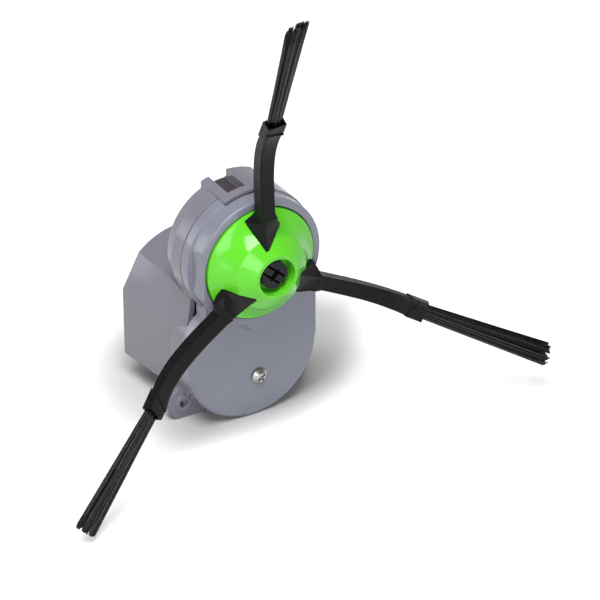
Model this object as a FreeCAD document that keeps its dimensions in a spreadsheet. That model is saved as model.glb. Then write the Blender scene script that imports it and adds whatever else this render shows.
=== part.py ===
import FreeCAD, Part
import math
import os
import re
import Sketcher

# Side brush module of a robot vacuum cleaner.
# The origin is on the brush axis, in the plane of the green hub's rim.
# The brush faces -Y, +Z is up, and the sizes are in millimetres and degrees.
# A rise is a distance in front of the rim plane, so it is measured along -Y.
# A depth is a distance behind the rim plane, measured along +Y.

SIZES = {
    # Green hub cap
    "hub_rim_radius": 14.0,
    "hub_rim_depth": 1.2,
    "hub_rim_bevel": 0.5,
    "hub_dome_radius": 12.7,
    "hub_edge_rise": 0.5,
    "hub_shoulder_radius": 9.2,
    "hub_shoulder_rise": 5.3,
    "hub_lip_radius": 5.5,
    "hub_rise": 8.0,
    "hub_wall": 1.3,
    "well_radius": 4.67,
    "well_wall": 1.1,
    "well_floor_rise": 3.9,
    "well_floor": 1.6,
    "notch_gap": 0.12,
    # Rubber spider with its three arms
    "arm_count": 3,
    "arm_lean": 3.4,
    "spider_ring_radius": 9.0,
    "spider_ring_depth": 0.4,
    "root_tip_radius": 7.0,
    "root_tip_half": 0.35,
    "root_tip_rise": 6.9,
    "root_back_rise": 1.0,
    "root_right_radius": 10.8,
    "root_right": 4.1,
    "root_right_rise": 3.5,
    "root_right_ridge_rise": 6.4,
    "root_left_radius": 13.0,
    "root_left": 3.7,
    "root_left_rise": 1.7,
    "root_left_ridge_rise": 6.15,
    "root_left_flare": 2.7,
    "root_left_flare_rise": 4.9,
    "root_shoulder_radius": 13.8,
    "root_shoulder_left": 1.9,
    "root_shoulder_right": 2.3,
    "arm_ridge": 1.4,
    "arm_waist_radius": 15.6,
    "arm_waist_half": 1.75,
    "arm_waist_rise": 5.9,
    "arm_waist_thickness": 3.4,
    "arm_middle_radius": 23.5,
    "arm_middle_half": 1.8,
    "arm_middle_rise": 6.2,
    "arm_middle_thickness": 3.2,
    "arm_bend_radius": 34.0,
    "arm_bend_half": 2.0,
    "arm_bend_rise": 8.4,
    "arm_bend_thickness": 2.9,
    "arm_crown": 0.15,
    "sleeve_seam_radius": 38.2,
    "sleeve_seam_rise": 10.8,
    "sleeve_length": 3.4,
    "sleeve_climb": 2.0,
    "sleeve_half": 2.4,
    "sleeve_thickness": 3.1,
    "sleeve_step": 0.2,
    "sleeve_wall": 0.4,
    # Bristle tufts
    "tuft_grip": 2.4,
    "tuft_root_half": 1.9,
    "tuft_root_thickness": 2.0,
    "tuft_reach": 32.6,
    "tuft_tip_rise": 24.4,
    "tuft_tip_half": 2.9,
    "tuft_tip_thickness": 2.9,
    "tuft_tip_slant": 1.6,
    "tuft_lobes": 11,
    "tuft_lobe_depth": 0.22,
    "tuft_gap": 0.05,
    # Spindle with its split snap post
    "post_radius": 3.4,
    "post_rise": 6.8,
    "post_neck_radius": 2.2,
    "post_slot_width": 0.55,
    "post_slot_offset": 1.0,
    "post_slot_depth": 4.2,
    "post_slot_turn": 48.0,
    "drive_square": 4.6,
    "drive_gap": 0.04,
    "spindle_radius": 2.5,
    "spindle_flange_radius": 3.8,
    "spindle_flange": 0.55,
    "tail_radius": 1.8,
    "clip_radius": 4.2,
    "clip_thickness": 0.6,
    "clip_groove": 0.5,
    "clip_mouth": 2.6,
    # Bushes and seal
    "running_gap": 0.05,
    "bush_radius": 3.6,
    "bush_flange_radius": 4.6,
    "bush_flange": 0.6,
    "bush_extra": 0.6,
    "seal_thickness": 0.65,
    "tail_bush_radius": 3.0,
    # Shell walls, and how far a cutting tool runs past the wall that it cuts
    "cut_margin": 1.0,
    "wall": 1.6,
    "face_depth": 2.5,
    "front_wall": 1.8,
    "parting_depth": 7.8,
    "parting_groove": 0.3,
    "parting_groove_width": 0.35,
    "hub_gap": 0.35,
    # Collar round the hub
    "collar_front_radius": 16.2,
    "collar_radius": 16.6,
    "collar_step_depth": 4.6,
    "collar_edge": 0.35,
    "collar_back_depth": 16.0,
    "collar_back_radius": 15.9,
    "collar_back_bevel": 0.9,
    "collar_back_wall": 1.8,
    "collar_flat_offset": 14.75,
    "collar_flat_draft": 7.0,
    "collar_flat_bottom": 6.0,
    "collar_flat_height": 13.4,
    # Round cover below the hub
    "cover_radius": 17.2,
    "cover_offset": -0.6,
    "cover_drop": 25.3,
    "cover_edge": 0.6,
    "lobe_drop": 14.0,
    "lobe_radius": 5.4,
    "lobe_top_radius": 3.9,
    "neck_left": 13.0,
    "neck_right": 16.4,
    "neck_top": 2.0,
    "neck_slot_width": 0.6,
    "neck_slot_depth": 0.8,
    "neck_slot_top": 9.9,
    "neck_slot_length": 4.8,
    # Lower chamber, base and lugs
    "chamber_inset": 0.8,
    "chamber_back_depth": 13.2,
    "floor_drop": 42.5,
    "base_half": 9.8,
    "base_front_depth": 9.5,
    "base_height": 7.0,
    "lug_offset": 14.8,
    "lug_drop": 38.4,
    "lug_radius": 4.1,
    "lug_front_depth": 10.0,
    "lug_thickness": 2.6,
    "lug_bore_radius": 1.1,
    "lug_boss_radius": 2.2,
    "lug_boss_height": 0.5,
    # Motor box
    "box_front_depth": 8.5,
    "box_back_wall": 1.8,
    "box_bottom": 36.0,
    "box_left_front": 15.0,
    "box_left_back": 18.2,
    "box_right_front": 16.0,
    "box_right_back": 17.6,
    "box_shoulder_drop": 18.3,
    "box_arc_half": 11.6,
    "box_arc_drop": 9.6,
    "box_arc_radius": 17.0,
    "box_arc_offset": -2.0,
    "box_arc_share": 0.7,
    "box_shoulder_share": 0.2,
    "ledge_height": 1.6,
    "ledge_gap": 0.3,
    "cradle_inset": 3.7,
    "foot_half": 6.0,
    "foot_thickness": 2.4,
    "foot_web_length": 7.0,
    # Snap tongue over the collar
    "tongue_left": 6.7,
    "tongue_right": 6.5,
    "tongue_front_depth": 4.0,
    "tongue_radius": 17.4,
    "window_left": 4.7,
    "window_front_depth": 10.9,
    "window_floor_radius": 14.9,
    "window_floor_wall": 1.2,
    "window_ledge": 0.8,
    "window_ledge_radius": 16.0,
    # Cover screw
    "screw_offset": 0.8,
    "screw_drop": 32.0,
    "screw_head_radius": 2.05,
    "screw_head_height": 1.4,
    "screw_crown_radius": 1.15,
    "screw_edge_height": 0.65,
    "screw_radius": 1.15,
    "screw_length": 8.6,
    "screw_recess_width": 0.6,
    "screw_recess_length": 2.2,
    "screw_recess_depth": 0.8,
    "screw_recess_turn": 35.0,
    "screw_boss_radius": 2.3,
    "screw_post_length": 4.6,
    "screw_gap": 0.05,
    "screw_end_gap": 0.8,
    # Gear train: the output stage is stage three
    "teeth_small": 12,
    "teeth_idler": 32,
    "teeth_output": 36,
    "module_one": 0.4,
    "module_two": 0.5,
    "module_three": 0.6,
    "tooth_addendum": 0.8,
    "tooth_dedendum": 1.15,
    "tooth_backlash": 0.14,
    "pressure_angle": 20.0,
    "output_phase": 0.0,
    "gear_gap": 0.3,
    "output_width": 2.5,
    "second_width": 2.2,
    "first_width": 2.0,
    "idler_foot_radius": 1.7,
    "idler_lean": 15.0,
    "pin_radius": 0.75,
    "pin_boss_radius": 2.0,
    "pin_boss_length": 0.7,
    # Motor and its bracket
    "motor_offset": -1.4,
    "motor_drop": 21.0,
    "bracket_thickness": 1.5,
    "bracket_radius": 13.3,
    "bracket_left": 10.4,
    "motor_radius": 12.2,
    "motor_wall": 0.9,
    "motor_length": 14.3,
    "motor_boss_radius": 3.0,
    "motor_boss": 1.2,
    "motor_bush_radius": 2.2,
    "motor_bush_length": 2.2,
    "cradle_gap": 0.1,
    "cap_thickness": 1.4,
    "cap_boss_radius": 3.4,
    "cap_boss": 1.2,
    "motor_end_gap": 0.8,
    "shaft_radius": 1.0,
    "magnet_thickness": 1.6,
    "magnet_length": 8.0,
    "magnet_span": 130.0,
    "core_radius": 9.1,
    "core_start": 1.8,
    "core_length": 6.0,
    "core_hub_radius": 3.2,
    "pole_width": 3.2,
    "pole_shoe": 1.2,
    "pole_gap_width": 3.0,
    "coil_half": 3.0,
    "coil_inner": 3.8,
    "coil_outer": 7.2,
    "coil_overhang": 1.2,
    "coil_gap": 0.05,
    "commutator_radius": 2.3,
    "commutator_length": 2.3,
    "leaf_thickness": 0.3,
    "leaf_half": 4.6,
    "leaf_width": 1.5,
    "leaf_gap": 0.08,
    "blade_offset": 7.0,
    "blade_thickness": 0.5,
    "blade_half": 1.5,
    "blade_reach": 1.6,
    "blade_gap": 0.15,
    "bracket_screw_turn": 90.0,
    "bracket_screw_circle": 8.0,
    "bracket_screw_radius": 1.0,
    "bracket_screw_head": 1.8,
    "bracket_screw_head_height": 1.1,
    "bracket_screw_slot": 0.5,
}

# Sizes that follow from the ones above: the layers of the gear train,
# the gear centres and the turn of each gear that brings it into mesh.
LAYOUT = {
    "bush_end": "face_depth + front_wall + bush_extra",
    "output_start": "bush_end + gear_gap",
    "output_end": "output_start + output_width",
    "second_start": "output_end + gear_gap",
    "second_end": "second_start + second_width",
    "first_start": "second_end + gear_gap",
    "first_end": "first_start + first_width",
    "bracket_front": "first_end + gear_gap + bracket_screw_head_height",
    "motor_front": "bracket_front + bracket_thickness",
    "motor_back": "motor_front + motor_length",
    "cradle_depth": "motor_back - cradle_inset",
    "box_back_depth": "motor_back + cap_boss + motor_end_gap + box_back_wall",
    "tail_end": "collar_back_depth - collar_back_wall",
    "stage_three": "module_three * (teeth_output + teeth_small) / 2",
    "stage_two": "module_two * (teeth_idler + teeth_small) / 2",
    "stage_one": "module_one * (teeth_idler + teeth_small) / 2",
    "slow_x": "stage_three * sin(idler_lean)",
    "slow_z": "-stage_three * cos(idler_lean)",
    "motor_x": "motor_offset",
    "motor_z": "-motor_drop",
    "link_x": "slow_x - motor_x",
    "link_z": "slow_z - motor_z",
    "link_length": "sqrt(link_x ^ 2 + link_z ^ 2)",
    "link_along": "(stage_one ^ 2 - stage_two ^ 2 + link_length ^ 2) / (2 * link_length)",
    "link_across": "sqrt(stage_one ^ 2 - link_along ^ 2)",
    "fast_x": "motor_x + (link_along * link_x + link_across * link_z) / link_length",
    "fast_z": "motor_z + (link_along * link_z - link_across * link_x) / link_length",
    "turn_slow": "atan2(slow_z; slow_x) / 1deg",
    "turn_fast": "atan2(fast_z - slow_z; fast_x - slow_x) / 1deg",
    "turn_motor": "atan2(motor_z - fast_z; motor_x - fast_x) / 1deg",
    "pitch_small": "360 / teeth_small",
    "pitch_idler": "360 / teeth_idler",
    "pitch_output": "360 / teeth_output",
    "slow_small_phase":
        "turn_slow + 180 + ((turn_slow - output_phase) / pitch_output + 0.5) * pitch_small",
    "fast_small_phase":
        "turn_fast + 180 + ((turn_fast - slow_small_phase) / pitch_idler + 0.5) * pitch_small",
    "pinion_phase":
        "turn_motor + 180 + ((turn_motor - fast_small_phase) / pitch_idler + 0.5) * pitch_small",
    "arm_pitch": "360 / arm_count",
    "root_share": "(root_right_radius - root_tip_radius) / (root_left_radius - root_tip_radius)",
    "root_tip_left": "arm_ridge + root_tip_half",
    "root_tip_right": "arm_ridge - root_tip_half",
    "sleeve_slope": "sleeve_climb / sleeve_length",
    "sleeve_end_radius": "sleeve_seam_radius + sleeve_length",
    "sleeve_end_rise": "sleeve_seam_rise + sleeve_climb",
    "sleeve_back_radius": "sleeve_end_radius + sleeve_thickness * sleeve_slope",
    "sleeve_back_rise": "sleeve_end_rise + sleeve_thickness * sleeve_slope ^ 2",
    "tuft_root_radius": "sleeve_end_radius - tuft_grip",
    "tuft_tip_radius": "tuft_root_radius + tuft_reach",
    "pocket_rise": "sleeve_seam_rise + (tuft_root_radius - sleeve_seam_radius) * sleeve_slope",
    "cover_x": "cover_offset",
    "cover_z": "-cover_drop",
    "chamber_radius": "cover_radius - chamber_inset",
    "chamber_bore": "cover_radius - chamber_inset - wall",
    "seal_start": "face_depth - bush_flange - seal_thickness",
    "clip_start": "output_end + running_gap",
    "slow_pin_front": "output_start - gear_gap - pin_boss_length",
    "fast_pin_front": "second_start - gear_gap - pin_boss_length",
}

AXIS_Y = FreeCAD.Vector(0, 1, 0)
AXIS_Z = FreeCAD.Vector(0, 0, 1)
ALONG_Y = FreeCAD.Rotation(FreeCAD.Vector(1, 0, 0), -90)

doc = FreeCAD.newDocument("side_brush_module")
sheet = doc.addObject("Spreadsheet::Sheet", "sizes")


def fill_sheet():
    """Write each size and each worked-out size to the sheet, with its name as the alias."""
    rows = [(name, str(size)) for name, size in SIZES.items()]
    rows += [(name, "=" + rule) for name, rule in LAYOUT.items()]
    for row, (name, text) in enumerate(rows, start=1):
        sheet.set(f"A{row}", name)
        sheet.set(f"B{row}", text)
        sheet.setAlias(f"B{row}", name)
    doc.recompute()


def cells(rule):
    """Turn the size names in a rule into references to their cells."""
    def swap(match):
        word = match.group(0)
        known = word in SIZES or word in LAYOUT
        return f"sizes.{word}" if known else word
    return re.sub(r"[A-Za-z_]\w*", swap, str(rule))


def size(rule):
    """The number that a rule comes to with the sheet's present sizes."""
    return float(sheet.evalExpression(cells(rule)))


def bind(item, **rules):
    """Bind properties of an object to rules; a double underscore stands for a dot."""
    for name, rule in rules.items():
        item.setExpression(name.replace("__", "."), cells(rule))
    return item


def place(item, x="0", y="0", z="0"):
    return bind(item, Placement__Base__x=x, Placement__Base__y=y, Placement__Base__z=z)


def rod(name, radius, start, end, x="0", z="0"):
    """A round bar along Y between two depths."""
    item = doc.addObject("Part::Cylinder", name)
    item.Placement = FreeCAD.Placement(FreeCAD.Vector(), ALONG_Y)
    bind(item, Radius=radius, Height=f"({end}) - ({start})")
    return place(item, x, start, z)


def bore(name, radius, start, end, x="0", z="0"):
    """A rod that runs past both depths, for cutting a hole."""
    return rod(name, radius, f"{start} - cut_margin", f"{end} + cut_margin", x, z)


def taper(name, radius_front, radius_back, start, end, x="0", z="0"):
    """A cone along Y between two depths."""
    item = doc.addObject("Part::Cone", name)
    item.Placement = FreeCAD.Placement(FreeCAD.Vector(), ALONG_Y)
    bind(item, Radius1=radius_front, Radius2=radius_back, Height=f"({end}) - ({start})")
    return place(item, x, start, z)


def block(name, x_range, y_range, z_range, turn=None, centre=("0", "0")):
    """A box between two limits in each direction, with an optional turn about Y."""
    item = doc.addObject("Part::Box", name)
    lows = [low for low, high in (x_range, y_range, z_range)]
    spans = [f"({high}) - ({low})" for low, high in (x_range, y_range, z_range)]
    bind(item, Length=spans[0], Width=spans[1], Height=spans[2])
    if turn is None:
        return place(item, *lows)
    item.Placement = FreeCAD.Placement(FreeCAD.Vector(), FreeCAD.Rotation(-AXIS_Y, 1))
    bind(item, Placement__Rotation__Angle=turn)
    x, z = centre
    return place(
        item,
        f"({x}) + ({lows[0]}) * cos({turn}) - ({lows[2]}) * sin({turn})",
        lows[1],
        f"({z}) + ({lows[0]}) * sin({turn}) + ({lows[2]}) * cos({turn})",
    )


def joined(name, *items):
    item = doc.addObject("Part::MultiFuse", name)
    item.Shapes = list(items)
    item.Refine = True
    return item


def cut(name, base, *tools):
    item = doc.addObject("Part::Cut", name)
    item.Base = base
    item.Tool = tools[0] if len(tools) == 1 else joined(name + "_tools", *tools)
    return item


def shared(name, *items):
    item = doc.addObject("Part::MultiCommon", name)
    item.Shapes = list(items)
    return item


def origin_plane(body, role):
    return next(item for item in body.Origin.OriginFeatures if item.Role == role)


def sketched(body, name, role, corners, offset="0"):
    """A closed sketch through corners given as rules, each held by its two distances.

    A corner with a third entry starts an arc of that radius, which bulges
    outwards for corners that run anticlockwise.
    """
    sketch = body.newObject("Sketcher::SketchObject", name)
    sketch.AttachmentSupport = (origin_plane(body, role), [""])
    sketch.MapMode = "FlatFace"
    bind(sketch, AttachmentOffset__Base__z=offset)
    points = [FreeCAD.Vector(size(corner[0]), size(corner[1]), 0) for corner in corners]
    count = len(corners)
    for index, corner in enumerate(corners):
        start = points[index]
        end = points[(index + 1) % count]
        if len(corner) == 2:
            sketch.addGeometry(Part.LineSegment(start, end), False)
            continue
        chord = end - start
        across = FreeCAD.Vector(chord.y, -chord.x, 0).normalize()
        radius = size(corner[2])
        sag = radius - math.sqrt(radius ** 2 - (chord.Length / 2) ** 2)
        middle = (start + end) * 0.5 + across * sag
        sketch.addGeometry(Part.Arc(start, middle, end), False)
    for index, corner in enumerate(corners):
        following = (index + 1) % count
        sketch.addConstraint(Sketcher.Constraint("Coincident", index, 2, following, 1))
    for index, corner in enumerate(corners):
        labels = (("DistanceX", f"across_{index}", points[index].x, corner[0]),
                  ("DistanceY", f"along_{index}", points[index].y, corner[1]))
        for kind, label, number, rule in labels:
            place_held = sketch.addConstraint(Sketcher.Constraint(kind, -1, 1, index, 1, number))
            sketch.renameConstraint(place_held, label)
            sketch.setExpression("Constraints." + label, cells(rule))
        if len(corner) == 3:
            arc = Sketcher.Constraint("Radius", index, size(corner[2]))
            sketch.renameConstraint(sketch.addConstraint(arc), f"arc_{index}")
            sketch.setExpression(f"Constraints.arc_{index}", cells(corner[2]))
    return sketch


def turned(name, corners, x="0", z="0", span="360"):
    """A body of revolution about its own Y axis, from corners of radius and depth.

    A span of less than a full turn lies half on each side of the X axis.
    """
    body = doc.addObject("PartDesign::Body", name)
    sketch = sketched(body, name + "_profile", "XY_Plane", corners)
    turn = body.newObject("PartDesign::Revolution", name + "_turn")
    turn.Profile = sketch
    turn.ReferenceAxis = (sketch, ["V_Axis"])
    turn.Midplane = True
    bind(turn, Angle=span)
    return place(body, x, "0", z)


def ring(name, outer, inner, start, end, x="0", z="0"):
    return turned(name, [(inner, start), (outer, start), (outer, end), (inner, end)], x, z)


def section(left, right, ridge, back, gap="0"):
    """Five corners of an arm's section, whose ridge runs along its left edge.

    Left and right are each a distance from the arm's middle line and a rise.
    """
    return [
        (f"-({left[0]}) - {gap}", f"-({back}) + {gap}"),
        (f"-({left[0]}) - {gap}", f"-({left[1]}) - {gap}"),
        ("-arm_ridge", f"-({ridge}) - {gap}"),
        (f"({right[0]}) + {gap}", f"-({right[1]}) - {gap}"),
        (f"({right[0]}) + {gap}", f"-({back}) + {gap}"),
    ]


def bar_section(half, rise, thickness):
    """A section of an arm or sleeve that is as wide on both sides of its middle line."""
    edge = f"{rise} - arm_crown"
    return section((half, edge), (half, edge), rise, f"{rise} - ({thickness})")


def lofted(body, name, stations, ruled=True, role="XY_Plane"):
    """A loft through sections at given offsets, straight-sided if ruled."""
    sketches = [
        sketched(body, f"{name}_section_{index}", role, corners, offset)
        for index, (offset, corners) in enumerate(stations)
    ]
    loft = body.newObject("PartDesign::AdditiveLoft", name + "_loft")
    loft.Profile = sketches[0]
    loft.Sections = sketches[1:]
    loft.Ruled = ruled
    return loft


def around(body, *features, count="arm_count"):
    """Repeat features round the brush axis."""
    pattern = body.newObject("PartDesign::PolarPattern", body.Name + "_pattern")
    pattern.Originals = list(features)
    pattern.Axis = (origin_plane(body, "Y_Axis"), [""])
    pattern.Angle = 360
    bind(pattern, Occurrences=count)
    body.Tip = pattern
    return pattern


def lean(item, turn):
    """Turn an item about the brush axis, anticlockwise as seen from the front."""
    item.Placement = FreeCAD.Placement(FreeCAD.Vector(), FreeCAD.Rotation(-AXIS_Y, 1))
    return bind(item, Placement__Rotation__Angle=turn)


# Rubber spider and green hub cap

def root_stations(gap="0"):
    """The arrow-shaped root of an arm, which fills a notch of the hub cap."""
    tip_edge = "root_tip_rise - arm_crown"
    return [
        ("root_tip_radius - " + gap,
         section(("root_tip_left", tip_edge), ("-root_tip_right", tip_edge),
                 "root_tip_rise", "root_back_rise", gap)),
        ("root_right_radius",
         section(("root_tip_left + (root_left - root_tip_left) * root_share",
                  "root_tip_rise + (root_left_rise - root_tip_rise) * root_share"),
                 ("root_right", "root_right_rise"),
                 "root_right_ridge_rise", "root_back_rise", gap)),
        ("root_left_radius",
         section(("root_left", "root_left_rise"), ("root_left_flare", "root_left_flare_rise"),
                 "root_left_ridge_rise", "root_back_rise", gap)),
    ]


def shoulder_station(back, gap="0"):
    """The section where the root has narrowed to the arm."""
    edge = "(root_left_ridge_rise + arm_waist_rise) / 2 - arm_crown"
    return ("root_shoulder_radius",
            section(("root_shoulder_left", edge), ("root_shoulder_right", edge),
                    edge + " + arm_crown", back, gap))


def bar_stations():
    """The curved bar of an arm, from its waist to the seam of its sleeve."""
    stations = []
    for part in ("waist", "middle", "bend"):
        stations.append((f"arm_{part}_radius",
                         bar_section(f"arm_{part}_half", f"arm_{part}_rise",
                                     f"arm_{part}_thickness")))
    stations.append(("sleeve_seam_radius",
                     bar_section("sleeve_half - sleeve_step", "sleeve_seam_rise",
                                 "sleeve_thickness - 2 * sleeve_step")))
    return stations


def make_spider():
    body = turned("arm_spider", [
        ("0", "-(well_floor_rise - well_floor)"),
        ("spider_ring_radius", "-(well_floor_rise - well_floor)"),
        ("spider_ring_radius", "spider_ring_depth"),
        ("0", "spider_ring_depth"),
    ])
    doc.recompute()
    bar = bar_stations()
    root = lofted(body, "root", root_stations() + [shoulder_station("root_back_rise"), bar[0]])
    doc.recompute()
    arm = lofted(body, "arm", bar, ruled=False)
    doc.recompute()
    around(body, root, arm)
    doc.recompute()
    half = "drive_square / 2 + drive_gap"
    sketch = sketched(body, "drive_socket", "XZ_Plane", [
        (f"-({half})", f"-({half})"), (half, f"-({half})"), (half, half), (f"-({half})", half),
    ])
    socket = body.newObject("PartDesign::Pocket", "spider_socket")
    socket.Profile = sketch
    socket.Type = "ThroughAll"
    socket.Midplane = True
    body.Tip = socket
    lean(body, "arm_lean")
    return body


def make_hub_cap():
    """A domed cap with a well in its middle and a notch for each arm."""
    inner_shoulder = "hub_shoulder_rise - hub_wall"
    shell = turned("hub_shell", [
        ("post_neck_radius + drive_gap", "-(well_floor_rise - well_floor)"),
        ("well_radius + well_wall", "-(well_floor_rise - well_floor)"),
        ("well_radius + well_wall", "-(hub_rise - 2 * hub_wall)"),
        ("hub_shoulder_radius", f"-({inner_shoulder})"),
        ("hub_rim_radius - hub_wall", "-hub_edge_rise + hub_wall / 2"),
        ("hub_rim_radius - hub_wall", "hub_rim_depth"),
        ("hub_rim_radius - hub_rim_bevel", "hub_rim_depth"),
        ("hub_rim_radius", "hub_rim_depth - hub_rim_bevel"),
        ("hub_rim_radius", "-hub_edge_rise", "hub_dome_radius"),
        ("hub_shoulder_radius", "-hub_shoulder_rise"),
        ("hub_lip_radius", "-hub_rise"),
        ("well_radius", "-hub_rise"),
        ("well_radius", "-well_floor_rise"),
        ("post_neck_radius + drive_gap", "-well_floor_rise"),
    ])
    body = doc.addObject("PartDesign::Body", "notch_body")
    edge = "arm_waist_rise - arm_crown"
    stations = root_stations("notch_gap")
    stations.append(shoulder_station("root_back_rise", "notch_gap"))
    stations.append(("arm_waist_radius",
                     section(("arm_waist_half", edge), ("arm_waist_half", edge),
                             "arm_waist_rise", "root_back_rise", "notch_gap")))
    high = [
        (offset, [corners[0], (corners[1][0], "-hub_rise"), ("-arm_ridge", "-hub_rise - hub_wall"),
                  (corners[3][0], "-hub_rise"), corners[4]])
        for offset, corners in stations
    ]
    notch = lofted(body, "notch", high)
    around(body, notch)
    lean(body, "arm_lean")
    return cut("hub_cap", shell, body)


def sleeve_middle(radius):
    """Rise of the sleeve's middle line at a radius, on its straight run."""
    front = size("sleeve_seam_rise") + (radius - size("sleeve_seam_radius")) * size("sleeve_slope")
    return front - size("sleeve_thickness") / 2


def bundle_wire(share, dent, gap):
    """The scalloped oval outline of a bristle bundle, a share of the way from root to tip."""
    def between(root, tip):
        return size(root) * (1 - share) + size(tip) * share
    radius = between("tuft_root_radius", "tuft_tip_radius")
    half = between("tuft_root_half", "tuft_tip_half") + gap
    thick = between("tuft_root_thickness", "tuft_tip_thickness") / 2 + gap
    root_rise = sleeve_middle(size("tuft_root_radius"))
    rise = root_rise * (1 - share) + size("tuft_tip_rise") * share
    slant = size("tuft_tip_slant") if share == 1 else 0
    lobes = int(size("tuft_lobes"))
    steps = 4 * lobes
    points = []
    for step in range(steps):
        angle = 2 * math.pi * step / steps
        inset = dent * (1 - math.cos(lobes * angle)) / 2
        across = (half - inset) * math.cos(angle)
        along = (thick - inset) * math.sin(angle)
        points.append(FreeCAD.Vector(across, along - rise, radius + slant * across / half))
    return Part.makePolygon(points + points[:1])


def bundle(name, share, dent, gap, turn):
    """A bristle bundle from its root in the sleeve to a share of its length."""
    item = doc.addObject("Part::Feature", name)
    item.Shape = Part.makeLoft([bundle_wire(0, dent, gap), bundle_wire(share, dent, gap)],
                               True, True)
    return lean(item, turn)


def square_end(body, name):
    """Cut the sleeve's end square to its own run, which leans forward by its slope."""
    over = "(sleeve_thickness + cut_margin)"
    back = f"sleeve_end_radius + {over} * sleeve_slope"
    sketch = sketched(body, name, "YZ_Plane", [
        ("-sleeve_end_rise - 2 * cut_margin", "sleeve_end_radius - 2 * cut_margin * sleeve_slope"),
        (f"-sleeve_end_rise + {over}", back),
        (f"-sleeve_end_rise + {over}", back + " + sleeve_thickness"),
        ("-sleeve_end_rise - 2 * cut_margin", back + " + sleeve_thickness"),
    ])
    end = body.newObject("PartDesign::Pocket", name + "_cut")
    end.Profile = sketch
    end.Type = "ThroughAll"
    end.Midplane = True


def make_tuft(number):
    """One sleeve at the end of an arm, and the bristle tuft that it holds."""
    turn = f"arm_lean + {number - 1} * arm_pitch"
    tuft = bundle(f"bristle_tuft_{number}", 1, size("tuft_lobe_depth"), 0, turn)
    body = doc.addObject("PartDesign::Body", f"sleeve_body_{number}")
    lofted(body, f"sleeve_{number}", [
        ("sleeve_seam_radius", bar_section("sleeve_half", "sleeve_seam_rise", "sleeve_thickness")),
        ("sleeve_back_radius", bar_section("sleeve_half", "sleeve_back_rise", "sleeve_thickness")),
    ])
    doc.recompute()
    square_end(body, f"sleeve_{number}_end")
    lean(body, turn)
    hollow = doc.addObject("PartDesign::Body", f"sleeve_hollow_{number}")
    half = "sleeve_half - sleeve_wall"
    depth = "sleeve_thickness - 2 * sleeve_wall"
    lofted(hollow, f"sleeve_hollow_{number}_inner", [
        ("tuft_root_radius", bar_section(half, "pocket_rise - sleeve_wall", depth)),
        ("sleeve_back_radius", bar_section(half, "sleeve_back_rise - sleeve_wall", depth)),
    ])
    lean(hollow, turn)
    reach = size("(sleeve_back_radius - tuft_root_radius) / (tuft_tip_radius - tuft_root_radius)")
    seat = bundle(f"sleeve_seat_{number}", reach, 0, size("tuft_gap"), turn)
    return [cut(f"tuft_sleeve_{number}", body, hollow, seat), tuft]


# Spindle, bushes and seal

def make_spindle():
    """The brush's shaft, from the split snap post at its front to the tail in its bush."""
    half = "drive_square / 2"
    blank = joined(
        "spindle_blank",
        rod("post", "post_radius", "-post_rise", "-well_floor_rise - drive_gap"),
        rod("post_neck", "post_neck_radius", "-post_rise", "0"),
        block("drive", (f"-({half})", half),
              ("-(well_floor_rise - well_floor) + drive_gap", "spider_ring_depth + drive_gap"),
              (f"-({half})", half), "arm_lean"),
        rod("spindle_flange_part", "spindle_flange_radius", "spider_ring_depth + drive_gap",
            "spider_ring_depth + drive_gap + spindle_flange"),
        rod("journal", "spindle_radius", "spider_ring_depth + drive_gap", "second_end"),
        rod("tail", "tail_radius", "second_start", "tail_end"),
    )
    slots = [
        block(f"post_slot_{side}",
              (f"{sign} * post_slot_offset - post_slot_width / 2",
               f"{sign} * post_slot_offset + post_slot_width / 2"),
              ("-post_rise - cut_margin", "-post_rise + post_slot_depth"),
              ("-post_radius - cut_margin", "post_radius + cut_margin"), "post_slot_turn")
        for side, sign in (("left", "-1"), ("right", "1"))
    ]
    groove = ring("clip_groove_part", "post_radius", "spindle_radius - clip_groove",
                  "clip_start", "clip_start + clip_thickness")
    return cut("spindle", blank, *slots, groove)


def make_clip():
    """The open ring that keeps the output gear on the spindle."""
    band = ring("clip_band", "clip_radius", "spindle_radius - clip_groove + running_gap",
                "clip_start", "clip_start + clip_thickness")
    mouth = block("clip_mouth_part", ("-clip_mouth / 2", "clip_mouth / 2"),
                  ("clip_start - cut_margin", "clip_start + clip_thickness + cut_margin"),
                  ("0", "clip_radius + cut_margin"))
    return cut("retaining_clip", band, mouth)


def make_bushes():
    bore = "spindle_radius + running_gap"
    flange = "face_depth - bush_flange"
    bush = turned("spindle_bush", [
        (bore, flange), ("bush_flange_radius", flange), ("bush_flange_radius", "face_depth"),
        ("bush_radius", "face_depth"), ("bush_radius", "bush_end"), (bore, "bush_end"),
    ])
    seal = ring("spindle_seal", "bush_flange_radius", "spindle_radius + 2 * running_gap",
                "seal_start", "seal_start + seal_thickness")
    tail = ring("tail_bush", "tail_bush_radius", "tail_radius + running_gap",
                "second_end + gear_gap", "tail_end")
    return [bush, seal, tail]


# Gear train

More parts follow.
